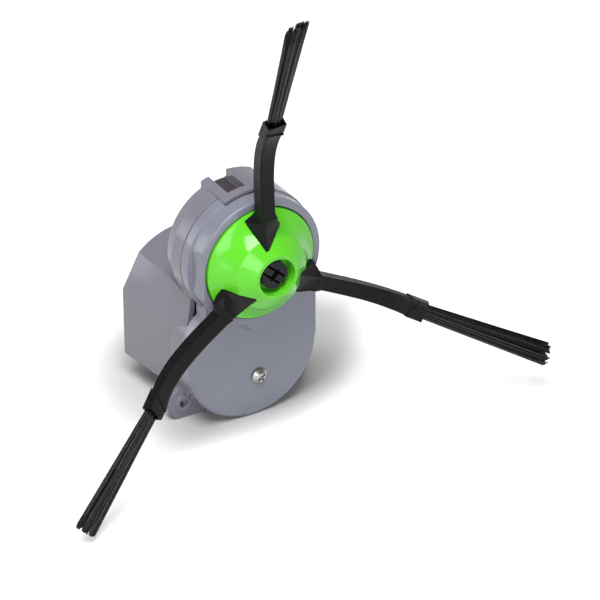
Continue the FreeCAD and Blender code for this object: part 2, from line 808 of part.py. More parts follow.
def gear_outline(name, teeth, module, phase, x, z, start, width):
    """A spur gear's toothed disc: involute flanks as short chords, pressed out along Y."""
    count = int(size(teeth))
    step = size(module)
    pressure = math.radians(size("pressure_angle"))
    pitch = step * count / 2
    base = pitch * math.cos(pressure)
    tip = pitch + step * size("tooth_addendum")
    root = pitch - step * size("tooth_dedendum")
    half_pitch = math.pi / (2 * count) - size("tooth_backlash") * step / (2 * pitch)

    def half_angle(radius):
        slope = math.acos(min(1, base / max(radius, base)))
        return half_pitch + math.tan(pressure) - pressure - (math.tan(slope) - slope)

    low = max(base, root)
    flank = [(root, half_angle(low))]
    flank += [(low + (tip - low) * part / 2, half_angle(low + (tip - low) * part / 2))
              for part in range(3)]
    points = []
    for tooth in range(count):
        middle = 2 * math.pi * tooth / count
        sides = [(radius, middle - half) for radius, half in flank]
        sides += [(radius, middle + half) for radius, half in reversed(flank)]
        points += [FreeCAD.Vector(radius * math.cos(angle), 0, radius * math.sin(angle))
                   for radius, angle in sides]
    outline = doc.addObject("Part::Feature", name + "_outline")
    outline.Shape = Part.Face(Part.makePolygon(points + points[:1]))
    lean(outline, phase)
    place(outline, x, start, z)
    disc = doc.addObject("Part::Extrusion", name + "_disc")
    disc.Base = outline
    disc.DirMode = "Custom"
    disc.Dir = AXIS_Y
    disc.Solid = True
    return bind(disc, LengthFwd=width)


def make_gears():
    """The output gear, the two compound idlers and the motor's pinion."""
    output_disc = gear_outline("output", "teeth_output", "module_three", "output_phase",
                               "0", "0", "output_start", "output_width")
    output = cut("output_gear", output_disc,
                 bore("output_bore", "spindle_radius + drive_gap", "output_start", "output_end"))
    slow = cut(
        "slow_idler_gear",
        joined(
            "slow_idler_blank",
            gear_outline("slow_small", "teeth_small", "module_three", "slow_small_phase",
                         "slow_x", "slow_z", "output_start", "second_start - output_start"),
            gear_outline("slow_large", "teeth_idler", "module_two", "slow_small_phase",
                         "slow_x", "slow_z", "second_start", "second_width"),
            rod("slow_foot", "idler_foot_radius", "second_end", "bracket_front - gear_gap",
                "slow_x", "slow_z"),
        ),
        bore("slow_bore", "pin_radius + running_gap", "output_start", "bracket_front - gear_gap",
             "slow_x", "slow_z"),
    )
    fast = cut(
        "fast_idler_gear",
        joined(
            "fast_idler_blank",
            gear_outline("fast_small", "teeth_small", "module_two", "fast_small_phase",
                         "fast_x", "fast_z", "second_start", "first_start - second_start"),
            gear_outline("fast_large", "teeth_idler", "module_one", "fast_small_phase",
                         "fast_x", "fast_z", "first_start", "first_width"),
            rod("fast_foot", "idler_foot_radius", "first_end", "bracket_front - gear_gap",
                "fast_x", "fast_z"),
        ),
        bore("fast_bore", "pin_radius + running_gap", "second_start", "bracket_front - gear_gap",
             "fast_x", "fast_z"),
    )
    pinion = cut(
        "drive_pinion",
        gear_outline("pinion", "teeth_small", "module_one", "pinion_phase",
                     "motor_x", "motor_z", "first_start", "first_width"),
        bore("pinion_bore", "shaft_radius + drive_gap / 2", "first_start", "first_end",
             "motor_x", "motor_z"),
    )
    return [output, slow, fast, pinion]


def make_pins():
    """The two steel pins that the idlers run on, each held at both ends."""
    slow = rod("slow_idler_pin", "pin_radius", "slow_pin_front", "motor_front",
               "slow_x", "slow_z")
    fast = rod("fast_idler_pin", "pin_radius", "fast_pin_front", "motor_front",
               "fast_x", "fast_z")
    return [slow, fast]


# Motor and the bracket that carries it

def bracket_screw_centres():
    for side, turn in (("upper", "bracket_screw_turn"), ("lower", "bracket_screw_turn + 180")):
        yield (side, f"motor_x + bracket_screw_circle * cos({turn})",
               f"motor_z + bracket_screw_circle * sin({turn})")


def make_bracket():
    """The plate between the gears and the motor, trimmed to the width of the box."""
    plate = shared(
        "bracket_plate",
        rod("bracket_round", "bracket_radius", "bracket_front", "motor_front",
            "motor_x", "motor_z"),
        block("bracket_trim", ("motor_x - bracket_left", "motor_x + bracket_radius"),
              ("bracket_front - cut_margin", "motor_front + cut_margin"),
              ("-box_bottom + wall + cradle_gap", "0")),
    )
    pads = [
        rod(f"{name}_pad", "pin_boss_radius", "bracket_front - gear_gap / 2", "motor_front",
            f"{name}_x", f"{name}_z")
        for name in ("slow", "fast")
    ]
    holes = [
        bore(f"{name}_pin_hole", "pin_radius", "bracket_front", "motor_front",
             f"{name}_x", f"{name}_z")
        for name in ("slow", "fast")
    ]
    holes.append(bore("motor_boss_hole", "motor_boss_radius + running_gap", "bracket_front",
                      "motor_front", "motor_x", "motor_z"))
    holes += [bore(f"bracket_hole_{side}", "bracket_screw_radius + running_gap",
                   "bracket_front", "motor_front", x, z)
              for side, x, z in bracket_screw_centres()]
    return cut("gear_bracket", joined("bracket_blank", plate, *pads), *holes)


def make_bracket_screws():
    """The two screws that clamp the motor to the bracket, as one group of solids."""
    screws = []
    for side, x, z in bracket_screw_centres():
        head = rod(f"bracket_screw_head_{side}", "bracket_screw_head",
                   "bracket_front - bracket_screw_head_height", "bracket_front", x, z)
        shank = rod(f"bracket_screw_shank_{side}", "bracket_screw_radius",
                    "bracket_front - bracket_screw_head_height / 4",
                    "motor_front + motor_wall", x, z)
        slot = block(f"bracket_screw_slot_{side}",
                     ("-bracket_screw_slot / 2", "bracket_screw_slot / 2"),
                     ("bracket_front - 2 * bracket_screw_head_height",
                      "bracket_front - bracket_screw_head_height / 2"),
                     ("-bracket_screw_head", "bracket_screw_head"), "bracket_screw_turn", (x, z))
        screws.append(cut(f"bracket_screw_{side}",
                          joined(f"bracket_screw_blank_{side}", head, shank), slot))
    group = doc.addObject("Part::Compound", "bracket_screws")
    group.Links = screws
    return group


def make_motor():
    """A flat round direct-current motor: can, magnets, wound rotor, end cap and leaf contacts."""
    x, z = "motor_x", "motor_z"
    inside = "motor_radius - motor_wall"
    can = turned("can_shell", [
        ("motor_bush_radius", "motor_front - motor_boss"),
        ("motor_boss_radius", "motor_front - motor_boss"),
        ("motor_boss_radius", "motor_front"),
        ("motor_radius - motor_wall / 2", "motor_front"),
        ("motor_radius", "motor_front + motor_wall / 2"),
        ("motor_radius", "motor_back"),
        (inside, "motor_back"),
        (inside, "motor_front + motor_wall"),
        ("motor_bush_radius", "motor_front + motor_wall"),
    ], x, z)
    holes = [bore(f"can_hole_{side}", "bracket_screw_radius", "motor_front",
                  "motor_front + motor_wall", hole_x, hole_z)
             for side, hole_x, hole_z in bracket_screw_centres()]
    motor_can = cut("motor_can", can, *holes)
    front_bush = ring("motor_bush", "motor_bush_radius", "shaft_radius + running_gap / 2",
                      "motor_front - motor_boss",
                      "motor_front - motor_boss + motor_bush_length", x, z)
    cap_front = "motor_back - cap_thickness"
    cap_body = turned("cap_body", [
        ("motor_bush_radius", cap_front), (inside, cap_front), (inside, "motor_back"),
        ("cap_boss_radius", "motor_back"), ("cap_boss_radius", "motor_back + cap_boss"),
        ("motor_bush_radius", "motor_back + cap_boss"),
    ], x, z)
    blade_slots = [
        block(f"cap_slot_{side}", ("motor_x - blade_half", "motor_x + blade_half"),
              (cap_front + " - cut_margin", "motor_back + cut_margin"),
              (f"motor_z {sign} blade_offset - blade_thickness / 2",
               f"motor_z {sign} blade_offset + blade_thickness / 2"))
        for side, sign in (("low", "-"), ("high", "+"))
    ]
    end_cap = cut("motor_end_cap", cap_body, *blade_slots)
    end_bush = ring("end_bush", "motor_bush_radius", "shaft_radius + running_gap / 2",
                    cap_front, "motor_back + cap_boss", x, z)
    shaft = rod("motor_shaft", "shaft_radius", "first_start - gear_gap / 2",
                "motor_back + cap_boss", x, z)
    magnets = doc.addObject("Part::Compound", "field_magnets")
    magnets.Links = [magnet("left", "180", inside), magnet("right", "0", inside)]
    leaves = doc.addObject("Part::Compound", "motor_leaf_contacts")
    leaves.Links = [
        block(f"leaf_{side}", (low, high),
              (f"{cap_front} - leaf_width", cap_front),
              ("motor_z - leaf_half", "motor_z + leaf_half"))
        for side, low, high in (
            ("left", "motor_x - commutator_radius - leaf_gap - leaf_thickness",
             "motor_x - commutator_radius - leaf_gap"),
            ("right", "motor_x + commutator_radius + leaf_gap",
             "motor_x + commutator_radius + leaf_gap + leaf_thickness"))
    ]
    blades = doc.addObject("Part::Compound", "contact_blades")
    blades.Links = [
        block(f"blade_{side}", ("motor_x - blade_half", "motor_x + blade_half"),
              (cap_front, "box_back_depth + blade_reach"),
              (f"motor_z {sign} blade_offset - blade_thickness / 2",
               f"motor_z {sign} blade_offset + blade_thickness / 2"))
        for side, sign in (("low", "-"), ("high", "+"))
    ]
    return [motor_can, front_bush, end_cap, end_bush, shaft, magnets, leaves, blades] + make_rotor()


def magnet(side, turn, inside):
    """One curved magnet: part of a ring, turned to its side of the can."""
    start = "motor_front + motor_wall + core_start - (magnet_length - core_length) / 2"
    end = start + " + magnet_length"
    bow = inside + " - magnet_thickness"
    body = turned(f"magnet_{side}", [(bow, start), (inside, start), (inside, end), (bow, end)],
                  span="magnet_span")
    lean(body, turn)
    return place(body, "motor_x", "0", "motor_z")


def make_rotor():
    """The three-pole core, its coils and the commutator."""
    x, z = "motor_x", "motor_z"
    start = "motor_front + motor_wall + core_start"
    end = f"{start} + core_length"
    shoes = ring("pole_ring", "core_radius", "core_radius - pole_shoe", start, end, x, z)
    parts = [shoes, rod("core_hub", "core_hub_radius", start, end, x, z)]
    gaps = [bore("core_bore", "shaft_radius + drive_gap / 2", start, end, x, z)]
    coils = []
    for pole in range(3):
        turn = f"90 + {pole} * 120"
        parts.append(block(f"pole_{pole}", ("0", "core_radius - pole_shoe / 2"), (start, end),
                           ("-pole_width / 2", "pole_width / 2"), turn, (x, z)))
        gaps.append(block(f"pole_gap_{pole}",
                          ("core_radius - pole_shoe - cut_margin", "core_radius + cut_margin"),
                          (f"{start} - cut_margin", f"{end} + cut_margin"),
                          ("-pole_gap_width / 2", "pole_gap_width / 2"), turn + " + 60", (x, z)))
        outer = block(f"coil_outer_{pole}", ("coil_inner", "coil_outer"),
                      (f"{start} - coil_overhang", f"{end} + coil_overhang"),
                      ("-coil_half", "coil_half"), turn, (x, z))
        inner = block(f"coil_hole_{pole}", ("coil_inner - cut_margin", "coil_outer + cut_margin"),
                      (f"{start} - coil_gap", f"{end} + coil_gap"),
                      ("-pole_width / 2 - coil_gap", "pole_width / 2 + coil_gap"), turn, (x, z))
        coils.append(cut(f"coil_{pole}", outer, inner))
    core = cut("rotor_core", joined("core_blank", *parts), *gaps)
    windings = doc.addObject("Part::Compound", "rotor_windings")
    windings.Links = coils
    commutator_end = "motor_back - cap_thickness - gear_gap"
    commutator = ring("commutator", "commutator_radius", "shaft_radius + drive_gap / 2",
                      f"{commutator_end} - commutator_length", commutator_end, x, z)
    return [core, windings, commutator]


# Front shell: the collar, the round cover and the neck between them

def make_front_shell():
    collar = turned("collar_front", [
        ("0", "0"),
        ("collar_front_radius - collar_edge", "0"),
        ("collar_front_radius", "collar_edge"),
        ("collar_front_radius", "collar_step_depth"),
        ("collar_radius", "collar_step_depth"),
        ("collar_radius", "parting_depth - parting_groove_width"),
        ("collar_radius - parting_groove", "parting_depth - parting_groove_width"),
        ("collar_radius - parting_groove", "parting_depth"),
        ("0", "parting_depth"),
    ])
    flat = doc.addObject("Part::Box", "collar_flat")
    flat.Placement = FreeCAD.Placement(FreeCAD.Vector(), FreeCAD.Rotation(AXIS_Z, 1))
    reach = "(collar_radius - collar_flat_offset + wall)"
    bind(flat, Placement__Rotation__Angle="collar_flat_draft", Length=reach,
         Width="wall + collar_step_depth / cos(collar_flat_draft)", Height="collar_flat_height")
    place(flat,
          f"-collar_flat_offset - {reach} * cos(collar_flat_draft) + wall * sin(collar_flat_draft)",
          f"-{reach} * sin(collar_flat_draft) - wall * cos(collar_flat_draft)",
          "-collar_flat_bottom")
    ring_part = cut("collar_ring", collar, flat)
    cover = turned("cover", [
        ("0", "face_depth"),
        ("cover_radius - cover_edge", "face_depth"),
        ("cover_radius", "face_depth + cover_edge"),
        ("cover_radius", "parting_depth - parting_groove_width"),
        ("cover_radius - parting_groove", "parting_depth - parting_groove_width"),
        ("cover_radius - parting_groove", "parting_depth"),
        ("0", "parting_depth"),
    ], "cover_x", "cover_z")
    neck = block("neck_front", ("-neck_left", "neck_right"), ("face_depth", "parting_depth"),
                 ("cover_z", "-neck_top"))
    lobe = taper("lobe", "lobe_top_radius", "lobe_radius", "collar_edge", "face_depth",
                 "0", "-lobe_drop")
    inner = "face_depth + front_wall"
    back = "parting_depth + cut_margin"
    hollow = joined(
        "front_hollow",
        rod("collar_hollow", "collar_radius - wall", inner, back),
        rod("cover_hollow", "cover_radius - wall", inner, back, "cover_x", "cover_z"),
        block("neck_hollow", ("-neck_left + wall", "neck_right - wall"), (inner, back),
              ("cover_z", "0")),
    )
    recess = rod("hub_recess", "hub_rim_radius + hub_gap", "-cut_margin", "face_depth")
    shell = cut("front_open", joined("front_blank", ring_part, cover, neck, lobe), hollow, recess)
    bosses = [
        rod("bush_boss", "bush_radius + wall", inner, "bush_end"),
        rod("screw_boss", "screw_boss_radius", inner, "parting_depth",
            "screw_offset", "-screw_drop"),
        rod("slow_boss", "pin_boss_radius", inner, "slow_pin_front + pin_boss_length - gear_gap",
            "slow_x", "slow_z"),
        rod("fast_boss", "pin_boss_radius", inner, "fast_pin_front + pin_boss_length",
            "fast_x", "fast_z"),
    ]
    holes = [
        bore("bush_hole", "bush_radius", "face_depth", "bush_end"),
        bore("cover_screw_hole", "screw_radius + screw_gap", "face_depth", "parting_depth",
             "screw_offset", "-screw_drop"),
        rod("slow_socket", "pin_radius", "slow_pin_front", "parting_depth",
            "slow_x", "slow_z"),
        rod("fast_socket", "pin_radius", "fast_pin_front", "parting_depth",
            "fast_x", "fast_z"),
        neck_slot("front"),
    ]
    return cut("front_shell", joined("front_bossed", shell, *bosses), *holes)


def neck_slot(name):
    """The narrow slot where the two shells meet on the neck's left side."""
    return block(f"neck_slot_{name}",
                 ("-neck_left - cut_margin", "-neck_left + neck_slot_depth"),
                 ("parting_depth - neck_slot_width", "parting_depth + neck_slot_width"),
                 ("-neck_slot_top - neck_slot_length", "-neck_slot_top"))


# Rear shell: the motor box, the gear chamber, the lugs, the foot and the snap tongue

def box_section(end, inset):
    """The motor box's outline at one end, anticlockwise as drawn on the sketch."""
    left = f"box_left_{end} - {inset}"
    right = f"box_right_{end} - {inset}"
    arc_left = f"box_arc_offset - box_arc_half + box_arc_share * ({inset})"
    arc_right = f"box_arc_offset + box_arc_half - box_arc_share * ({inset})"
    shoulder = f"-box_shoulder_drop - box_shoulder_share * ({inset})"
    top = f"-box_arc_drop - box_arc_share * ({inset})"
    return [
        (f"-({left})", f"-box_bottom + {inset}"),
        (right, f"-box_bottom + {inset}"),
        (right, shoulder),
        (arc_right, top, f"box_arc_radius - {inset}"),
        (arc_left, top),
        (f"-({left})", shoulder),
    ]


def make_box(name, front, back, inset):
    """The tapered motor box between two depths; the inset is the wall for its hollow."""
    body = doc.addObject("PartDesign::Body", name)
    sketches = [
        sketched(body, f"{name}_{end}", "XZ_Plane", box_section(end, inset), f"-({depth})")
        for end, depth in (("front", front), ("back", back))
    ]
    loft = body.newObject("PartDesign::AdditiveLoft", name + "_loft")
    loft.Profile = sketches[0]
    loft.Sections = [sketches[1]]
    loft.Ruled = True
    return body


def make_cradle(name, depth):
    """A rib across the motor box, which the motor's can passes through."""
    rib = block(f"cradle_{name}_rib", ("-box_left_back", "box_right_back"),
                (depth, f"{depth} + wall"), ("-box_bottom", "0"))
    limit = make_box(f"cradle_{name}_limit", "box_front_depth", "box_back_depth", "wall / 2")
    return shared(f"cradle_{name}", rib, limit)


def make_lug(side, sign):
    """A screw lug with its round end on the floor and a raised ring round its bore."""
    centre = f"cover_offset {sign} lug_offset"
    start = "lug_front_depth"
    end = "lug_front_depth + lug_thickness"
    lows = (centre, "cover_offset") if sign == "-" else ("cover_offset", centre)
    return [
        rod(f"lug_end_{side}", "lug_radius", start, end, centre, "-lug_drop"),
        block(f"lug_arm_{side}", lows, (start, end), ("-floor_drop", "-lug_drop + lug_radius")),
        rod(f"lug_ring_{side}", "lug_boss_radius", f"{start} - lug_boss_height", end, centre,
            "-lug_drop"),
    ]


def make_tongue():
    """The snap tongue that reaches forward over the collar, with the window behind it."""
    back = "collar_back_depth - wall / 2"
    band = cut("tongue_ring",
               rod("tongue_outer", "tongue_radius", "tongue_front_depth", back),
               rod("tongue_inner", "collar_radius", "tongue_front_depth - cut_margin",
                   "parting_depth"))
    slice_block = block("tongue_slice", ("-tongue_left", "tongue_right"),
                        ("tongue_front_depth", back), ("collar_radius / 2", "tongue_radius"))
    return shared("tongue", band, slice_block)


def make_rear_shell():
    collar = turned("collar_back", [
        ("0", "parting_depth"),
        ("collar_radius", "parting_depth"),
        ("collar_radius", "(parting_depth + collar_back_depth) / 2"),
        ("collar_back_radius", "collar_back_depth - collar_back_bevel"),
        ("collar_back_radius - collar_back_bevel", "collar_back_depth"),
        ("0", "collar_back_depth"),
    ])
    chamber = rod("chamber", "chamber_radius", "parting_depth", "chamber_back_depth",
                  "cover_x", "cover_z")
    neck = block("neck_back", ("-neck_left", "neck_right"),
                 ("parting_depth", "collar_back_depth - wall / 2"), ("cover_z", "-neck_top"))
    base = block("base_block", ("cover_x - base_half", "cover_x + base_half"),
                 ("base_front_depth", "chamber_back_depth"),
                 ("-floor_drop", "-floor_drop + base_height"))
    box = make_box("motor_box", "box_front_depth", "box_back_depth", "0")
    ledge_half = "(lug_offset - lug_bore_radius - ledge_gap)"
    ledge = block("under_ledge", (f"cover_x - {ledge_half}", f"cover_x + {ledge_half}"),
                  ("box_front_depth", "box_back_depth - foot_web_length"),
                  ("-box_bottom - ledge_height", "-box_bottom + wall / 2"))
    foot = block("foot_plate", ("-foot_half", "foot_half"),
                 ("box_back_depth - foot_thickness", "box_back_depth"),
                 ("-floor_drop", "-box_bottom + wall / 2"))
    webs = [
        block(f"foot_web_{side}", (low, high),
              ("box_back_depth - foot_web_length", "box_back_depth"),
              ("-floor_drop", "-box_bottom + wall / 2"))
        for side, low, high in (("left", "-foot_half", "-foot_half + wall"),
                                ("right", "foot_half - wall", "foot_half"))
    ]
    lugs = make_lug("left", "-") + make_lug("right", "+")
    blank = joined("rear_blank", collar, chamber, neck, base, box, ledge, foot, *webs, *lugs,
                   make_tongue())
    front = "parting_depth - cut_margin"
    hollow = joined(
        "rear_hollow",
        rod("collar_back_hollow", "window_floor_radius - window_floor_wall", front,
            "collar_back_depth - collar_back_wall"),
        rod("chamber_hollow", "chamber_radius - wall", front,
            "chamber_back_depth - wall", "cover_x", "cover_z"),
        block("neck_back_hollow", ("-neck_left + wall", "neck_right - wall"),
              (front, "motor_front"), ("cover_z", "0")),
        make_box("box_hollow", "box_front_depth - cut_margin", "box_back_depth - box_back_wall",
                 "wall"),
    )
    window = cut(
        "window",
        shared("window_space",
               rod("window_round", "tongue_radius + cut_margin", "window_front_depth",
                   "collar_back_depth + cut_margin"),
               block("window_block", ("-window_left", "0"),
                     ("window_front_depth", "collar_back_depth + cut_margin"),
                     ("0", "tongue_radius + cut_margin"))),
        bore("window_floor", "window_floor_radius", "window_front_depth",
             "collar_back_depth + cut_margin"),
        rod("window_ledge_part", "window_ledge_radius", "window_front_depth - cut_margin",
            "window_front_depth + window_ledge"),
    )
    ribs = [
        make_cradle("front", "motor_front"),
        make_cradle("back", "cradle_depth"),
        rod("tail_boss", "tail_bush_radius + wall", "second_end + gear_gap",
            "collar_back_depth - wall / 2"),
        rod("screw_post", "screw_boss_radius", "parting_depth",
            "parting_depth + screw_post_length", "screw_offset", "-screw_drop"),
        block("screw_web", ("screw_offset - wall / 2", "screw_offset + wall / 2"),
              ("parting_depth", "chamber_back_depth - wall / 2"),
              ("-cover_drop - chamber_radius + wall / 2", "-screw_drop - screw_boss_radius / 2")),
    ]
    holes = [
        bore("cradle_bore", "motor_radius + cradle_gap", "motor_front", "cradle_depth + wall",
             "motor_x", "motor_z"),
        rod("tail_bush_bore", "tail_bush_radius", "second_end", "tail_end"),
        rod("screw_pilot", "screw_radius + screw_gap", "parting_depth - cut_margin",
            "face_depth + screw_length + screw_end_gap", "screw_offset", "-screw_drop"),
        neck_slot("back"),
    ]
    holes += [
        bore(f"{side}_lug_bore", "lug_bore_radius", "lug_front_depth - lug_boss_height",
             "lug_front_depth + lug_thickness", f"cover_x {sign} lug_offset", "-lug_drop")
        for side, sign in (("left", "-"), ("right", "+"))
    ]
    holes += [
        block(f"blade_window_{side}",
              ("motor_x - blade_half - blade_gap", "motor_x + blade_half + blade_gap"),
              ("box_back_depth - box_back_wall - cut_margin", "box_back_depth + cut_margin"),
              (f"motor_z {sign} blade_offset - blade_thickness / 2 - blade_gap",
               f"motor_z {sign} blade_offset + blade_thickness / 2 + blade_gap"))
        for side, sign in (("low", "-"), ("high", "+"))
    ]
    shell = cut("rear_open", blank, hollow, window)
    return cut("rear_shell", joined("rear_ribbed", shell, *ribs), *holes)


def make_cover_screw():
    """The pan-headed screw through the round cover, with its cross recess."""
    x, z = "screw_offset", "-screw_drop"
    head_front = "face_depth - screw_head_height"
    head = turned("screw_head", [
        ("0", head_front),
        ("screw_crown_radius", head_front),
        ("screw_head_radius", "face_depth - screw_edge_height"),
        ("screw_head_radius", "face_depth"),
        ("0", "face_depth"),
    ], x, z)
    shank = rod("screw_shank", "screw_radius", "face_depth - screw_edge_height",
                "face_depth + screw_length", x, z)
    recess = [
        block(f"screw_recess_{name}",
              ("-screw_recess_length / 2", "screw_recess_length / 2"),
              (f"{head_front} - cut_margin", f"{head_front} + screw_recess_depth"),
              ("-screw_recess_width / 2", "screw_recess_width / 2"), turn, (x, z))
        for name, turn in (("one", "screw_recess_turn"), ("two", "screw_recess_turn + 90"))
    ]
    return cut("cover_screw", joined("screw_blank", head, shank), *recess)


def checked(nodes):
    """Stop if a feature failed or if a finished piece is not a sound solid."""
    doc.recompute()
    for item in doc.Objects:
        if "Invalid" in item.State or "Error" in item.State:
            raise RuntimeError(f"{item.Name} failed: {item.State}")
    for node in nodes:
        shape = node.Shape
        if shape.isNull() or not shape.isValid() or not shape.Solids:
            raise RuntimeError(f"{node.Name} is not a sound solid")


def main():
    fill_sheet()
    nodes = [make_front_shell(), make_rear_shell(), make_cover_screw()]
    nodes += [make_hub_cap(), make_spider(), make_spindle(), make_clip()]
    nodes += make_bushes() + make_gears() + make_pins()
    nodes += [make_bracket(), make_bracket_screws()]
    nodes += make_motor()
    for number in range(1, int(size("arm_count")) + 1):
        nodes += make_tuft(number)
    checked(nodes)
    os.makedirs("parts", exist_ok=True)
    for node in nodes:
        node.Shape.exportStep(f"parts/{node.Label}.step")

main()
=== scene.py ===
import math
import random

import bmesh
import bpy
from bpy.props import FloatProperty, FloatVectorProperty, IntProperty, PointerProperty
from mathutils import Matrix, Vector
from mathutils.bvhtree import BVHTree
from mathutils.geometry import barycentric_transform


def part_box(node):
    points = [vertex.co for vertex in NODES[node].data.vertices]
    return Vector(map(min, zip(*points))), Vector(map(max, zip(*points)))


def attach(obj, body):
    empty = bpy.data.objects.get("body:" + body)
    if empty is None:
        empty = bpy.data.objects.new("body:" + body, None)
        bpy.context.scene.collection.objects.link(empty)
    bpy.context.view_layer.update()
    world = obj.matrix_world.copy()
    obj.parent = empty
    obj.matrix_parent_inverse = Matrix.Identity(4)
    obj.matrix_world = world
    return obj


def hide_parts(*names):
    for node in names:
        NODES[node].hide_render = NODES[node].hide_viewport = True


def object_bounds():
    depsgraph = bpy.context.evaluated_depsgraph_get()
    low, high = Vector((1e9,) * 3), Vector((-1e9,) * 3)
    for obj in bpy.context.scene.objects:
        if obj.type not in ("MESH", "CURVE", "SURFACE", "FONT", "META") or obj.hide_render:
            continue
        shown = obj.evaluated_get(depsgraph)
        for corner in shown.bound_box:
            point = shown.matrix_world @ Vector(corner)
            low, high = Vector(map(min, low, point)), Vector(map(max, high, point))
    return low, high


bl_info = {
    "name": "Side brush module",
    "version": (1, 0, 0),
    "blender": (4, 5, 0),
    "location": "3D View > Sidebar > Side brush",
    "description": "Finishes the packed side brush module and sets it in a plain studio",
    "category": "Object",
}

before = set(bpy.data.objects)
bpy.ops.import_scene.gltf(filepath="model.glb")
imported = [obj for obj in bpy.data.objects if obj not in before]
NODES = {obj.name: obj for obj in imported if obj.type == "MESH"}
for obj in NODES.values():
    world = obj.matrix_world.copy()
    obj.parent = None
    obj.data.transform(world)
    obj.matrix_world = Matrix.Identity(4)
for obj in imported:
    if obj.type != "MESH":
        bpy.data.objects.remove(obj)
CAD_LOW, CAD_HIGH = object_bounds()
COLLAR_TOP = max(corner.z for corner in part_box("rear_shell"))
POST_FACE = min(corner.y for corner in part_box("spindle"))

MM = 0.001
ARMS = (1, 2, 3)

# Surfaces nearer than this count as one
TOUCH = 0.001 * MM
# Least share of a face's normal along an axis for the face to look that way
FACING = 0.7

# Softboxes: lamp, the studio setting of its power, place and size in metres
SOFTBOXES = (
    ("key_softbox", "key_power", (-0.24, -0.26, 0.78), (0.46, 0.46)),
    ("back_strip", "strip_power", (-0.6, 0.67, 0.2), (0.1, 0.5)),
    ("front_card", "card_power", (-0.2, -0.13, -0.012), (0.11, 0.05)),
    ("top_softbox", "top_power", (0.0, 0.1, 0.8), (0.8, 0.8)),
    ("front_softbox", "front_power", (-0.3, -0.85, 0.2), (0.6, 0.4)),
)
# Floor before and round the module that is left out of the painted floor glow, so that its shadow
# shows there: centre, where the glow starts and ends
FLOOR_SHADES = (
    ((-4 * MM, 46 * MM), 44 * MM, 56 * MM),
    ((10 * MM, 20 * MM), 30 * MM, 46 * MM),
)
FLOOR_HALF = 3.0
FLOOR_DROP = 0.02 * MM


def tint(code):
    """A colour written as six hexadecimal digits, as the linear red, green and blue."""
    shades = [int(code[place:place + 2], 16) / 255 for place in (0, 2, 4)]
    return tuple(s / 12.92 if s <= 0.04045 else ((s + 0.055) / 1.055) ** 2.4 for s in shades)


def length_property(name, description, default):
    """A length that the panel shows."""
    return FloatProperty(name=name, description=description, default=default,
                         min=0.0, precision=5, subtype="DISTANCE", unit="LENGTH")


def colour_property(name, description, code):
    """A colour that the panel shows."""
    return FloatVectorProperty(name=name, description=description, default=tint(code),
                               size=3, min=0.0, max=1.0, subtype="COLOR")


class SideBrushSizes(bpy.types.PropertyGroup):
    """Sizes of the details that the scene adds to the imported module."""

    arm_lean: FloatProperty(
        name="Arm lean", description="Turn of the first arm from upright, seen from the front",
        default=math.radians(3.4), subtype="ANGLE", unit="ROTATION")
    filaments: IntProperty(
        name="Filaments", description="How many filaments each tuft has", default=150, min=20)
    filament_radius: length_property(
        "Filament radius", "Radius of one nylon filament", 0.15 * MM)
    filament_stagger: length_property(
        "Filament stagger", "How far filament ends differ in length", 0.9 * MM)
    filament_bow: length_property(
        "Filament bow", "How far a filament bends off its straight line", 0.08 * MM)
    tip_spread: FloatProperty(
        name="Tip spread", description="Spread of a tuft's tip against the solid tuft",
        default=1.1, min=0.5, max=1.5)
    tip_slant: FloatProperty(
        name="Tip slant", description="Slant of a tuft's cut end against the solid tuft",
        default=0.4, min=0.0, max=1.0)
    seam_size: length_property(
        "Seam size", "Radius of the moulding bead at a sleeve's start", 0.22 * MM)
    seam_slant: length_property(
        "Seam slant", "How far the bead runs off square on an arm's face", 1.4 * MM)
    clumps: IntProperty(
        name="Clumps", description="Bundles that a tuft's filaments gather into", default=6, min=1)
    window_width: length_property(
        "Window width", "Width of the snap tongue's window, left of its middle", 4.7 * MM)
    window_front: length_property(
        "Window front", "How far behind the hub's rim plane the window begins", 6.2 * MM)
    window_back: length_property(
        "Window back", "How far back the window is deepened", 17.0 * MM)
    window_floor: length_property(
        "Window floor", "Height of the window's floor over the spindle", 14.95 * MM)
    window_ledge: length_property(
        "Window ledge", "Length of the catch ledge at the window's front", 0.9 * MM)
    ledge_drop: length_property(
        "Ledge drop", "Depth of the catch ledge under the tongue's face", 1.15 * MM)
    slot_turn: FloatProperty(
        name="Slot turn", description="Turn of the split post's slots",
        default=math.radians(48.0), subtype="ANGLE", unit="ROTATION")
    slot_offset: length_property(
        "Slot offset", "Distance of each slot from the post's middle", 1.0 * MM)
    slot_width: length_property("Slot width", "Width of the slots' floors", 0.6 * MM)
    slot_reach: length_property("Slot reach", "Half length of the slots' floors", 3.1 * MM)
    slot_floor: length_property("Slot floor", "Depth of the slots' floors", 0.6 * MM)
    slot_web: length_property("Slot web", "Thickness of the slots' floors", 0.48 * MM)
    key_size: length_property("Key size", "Width of the key hole in the post's face", 1.3 * MM)
    key_reach: length_property("Key reach", "Half length of the key hole's arms", 1.6 * MM)
    key_depth: length_property("Key depth", "Depth of the key hole", 0.9 * MM)
    shell_edge: length_property(
        "Shell edge", "Rounding of the grey shells' edges", 0.35 * MM)
    hub_edge: length_property("Hub edge", "Rounding of the green hub's edges", 0.16 * MM)
    rubber_edge: length_property("Rubber edge", "Rounding of the arms' edges", 0.15 * MM)
    metal_edge: length_property("Metal edge", "Rounding of small metal edges", 0.06 * MM)


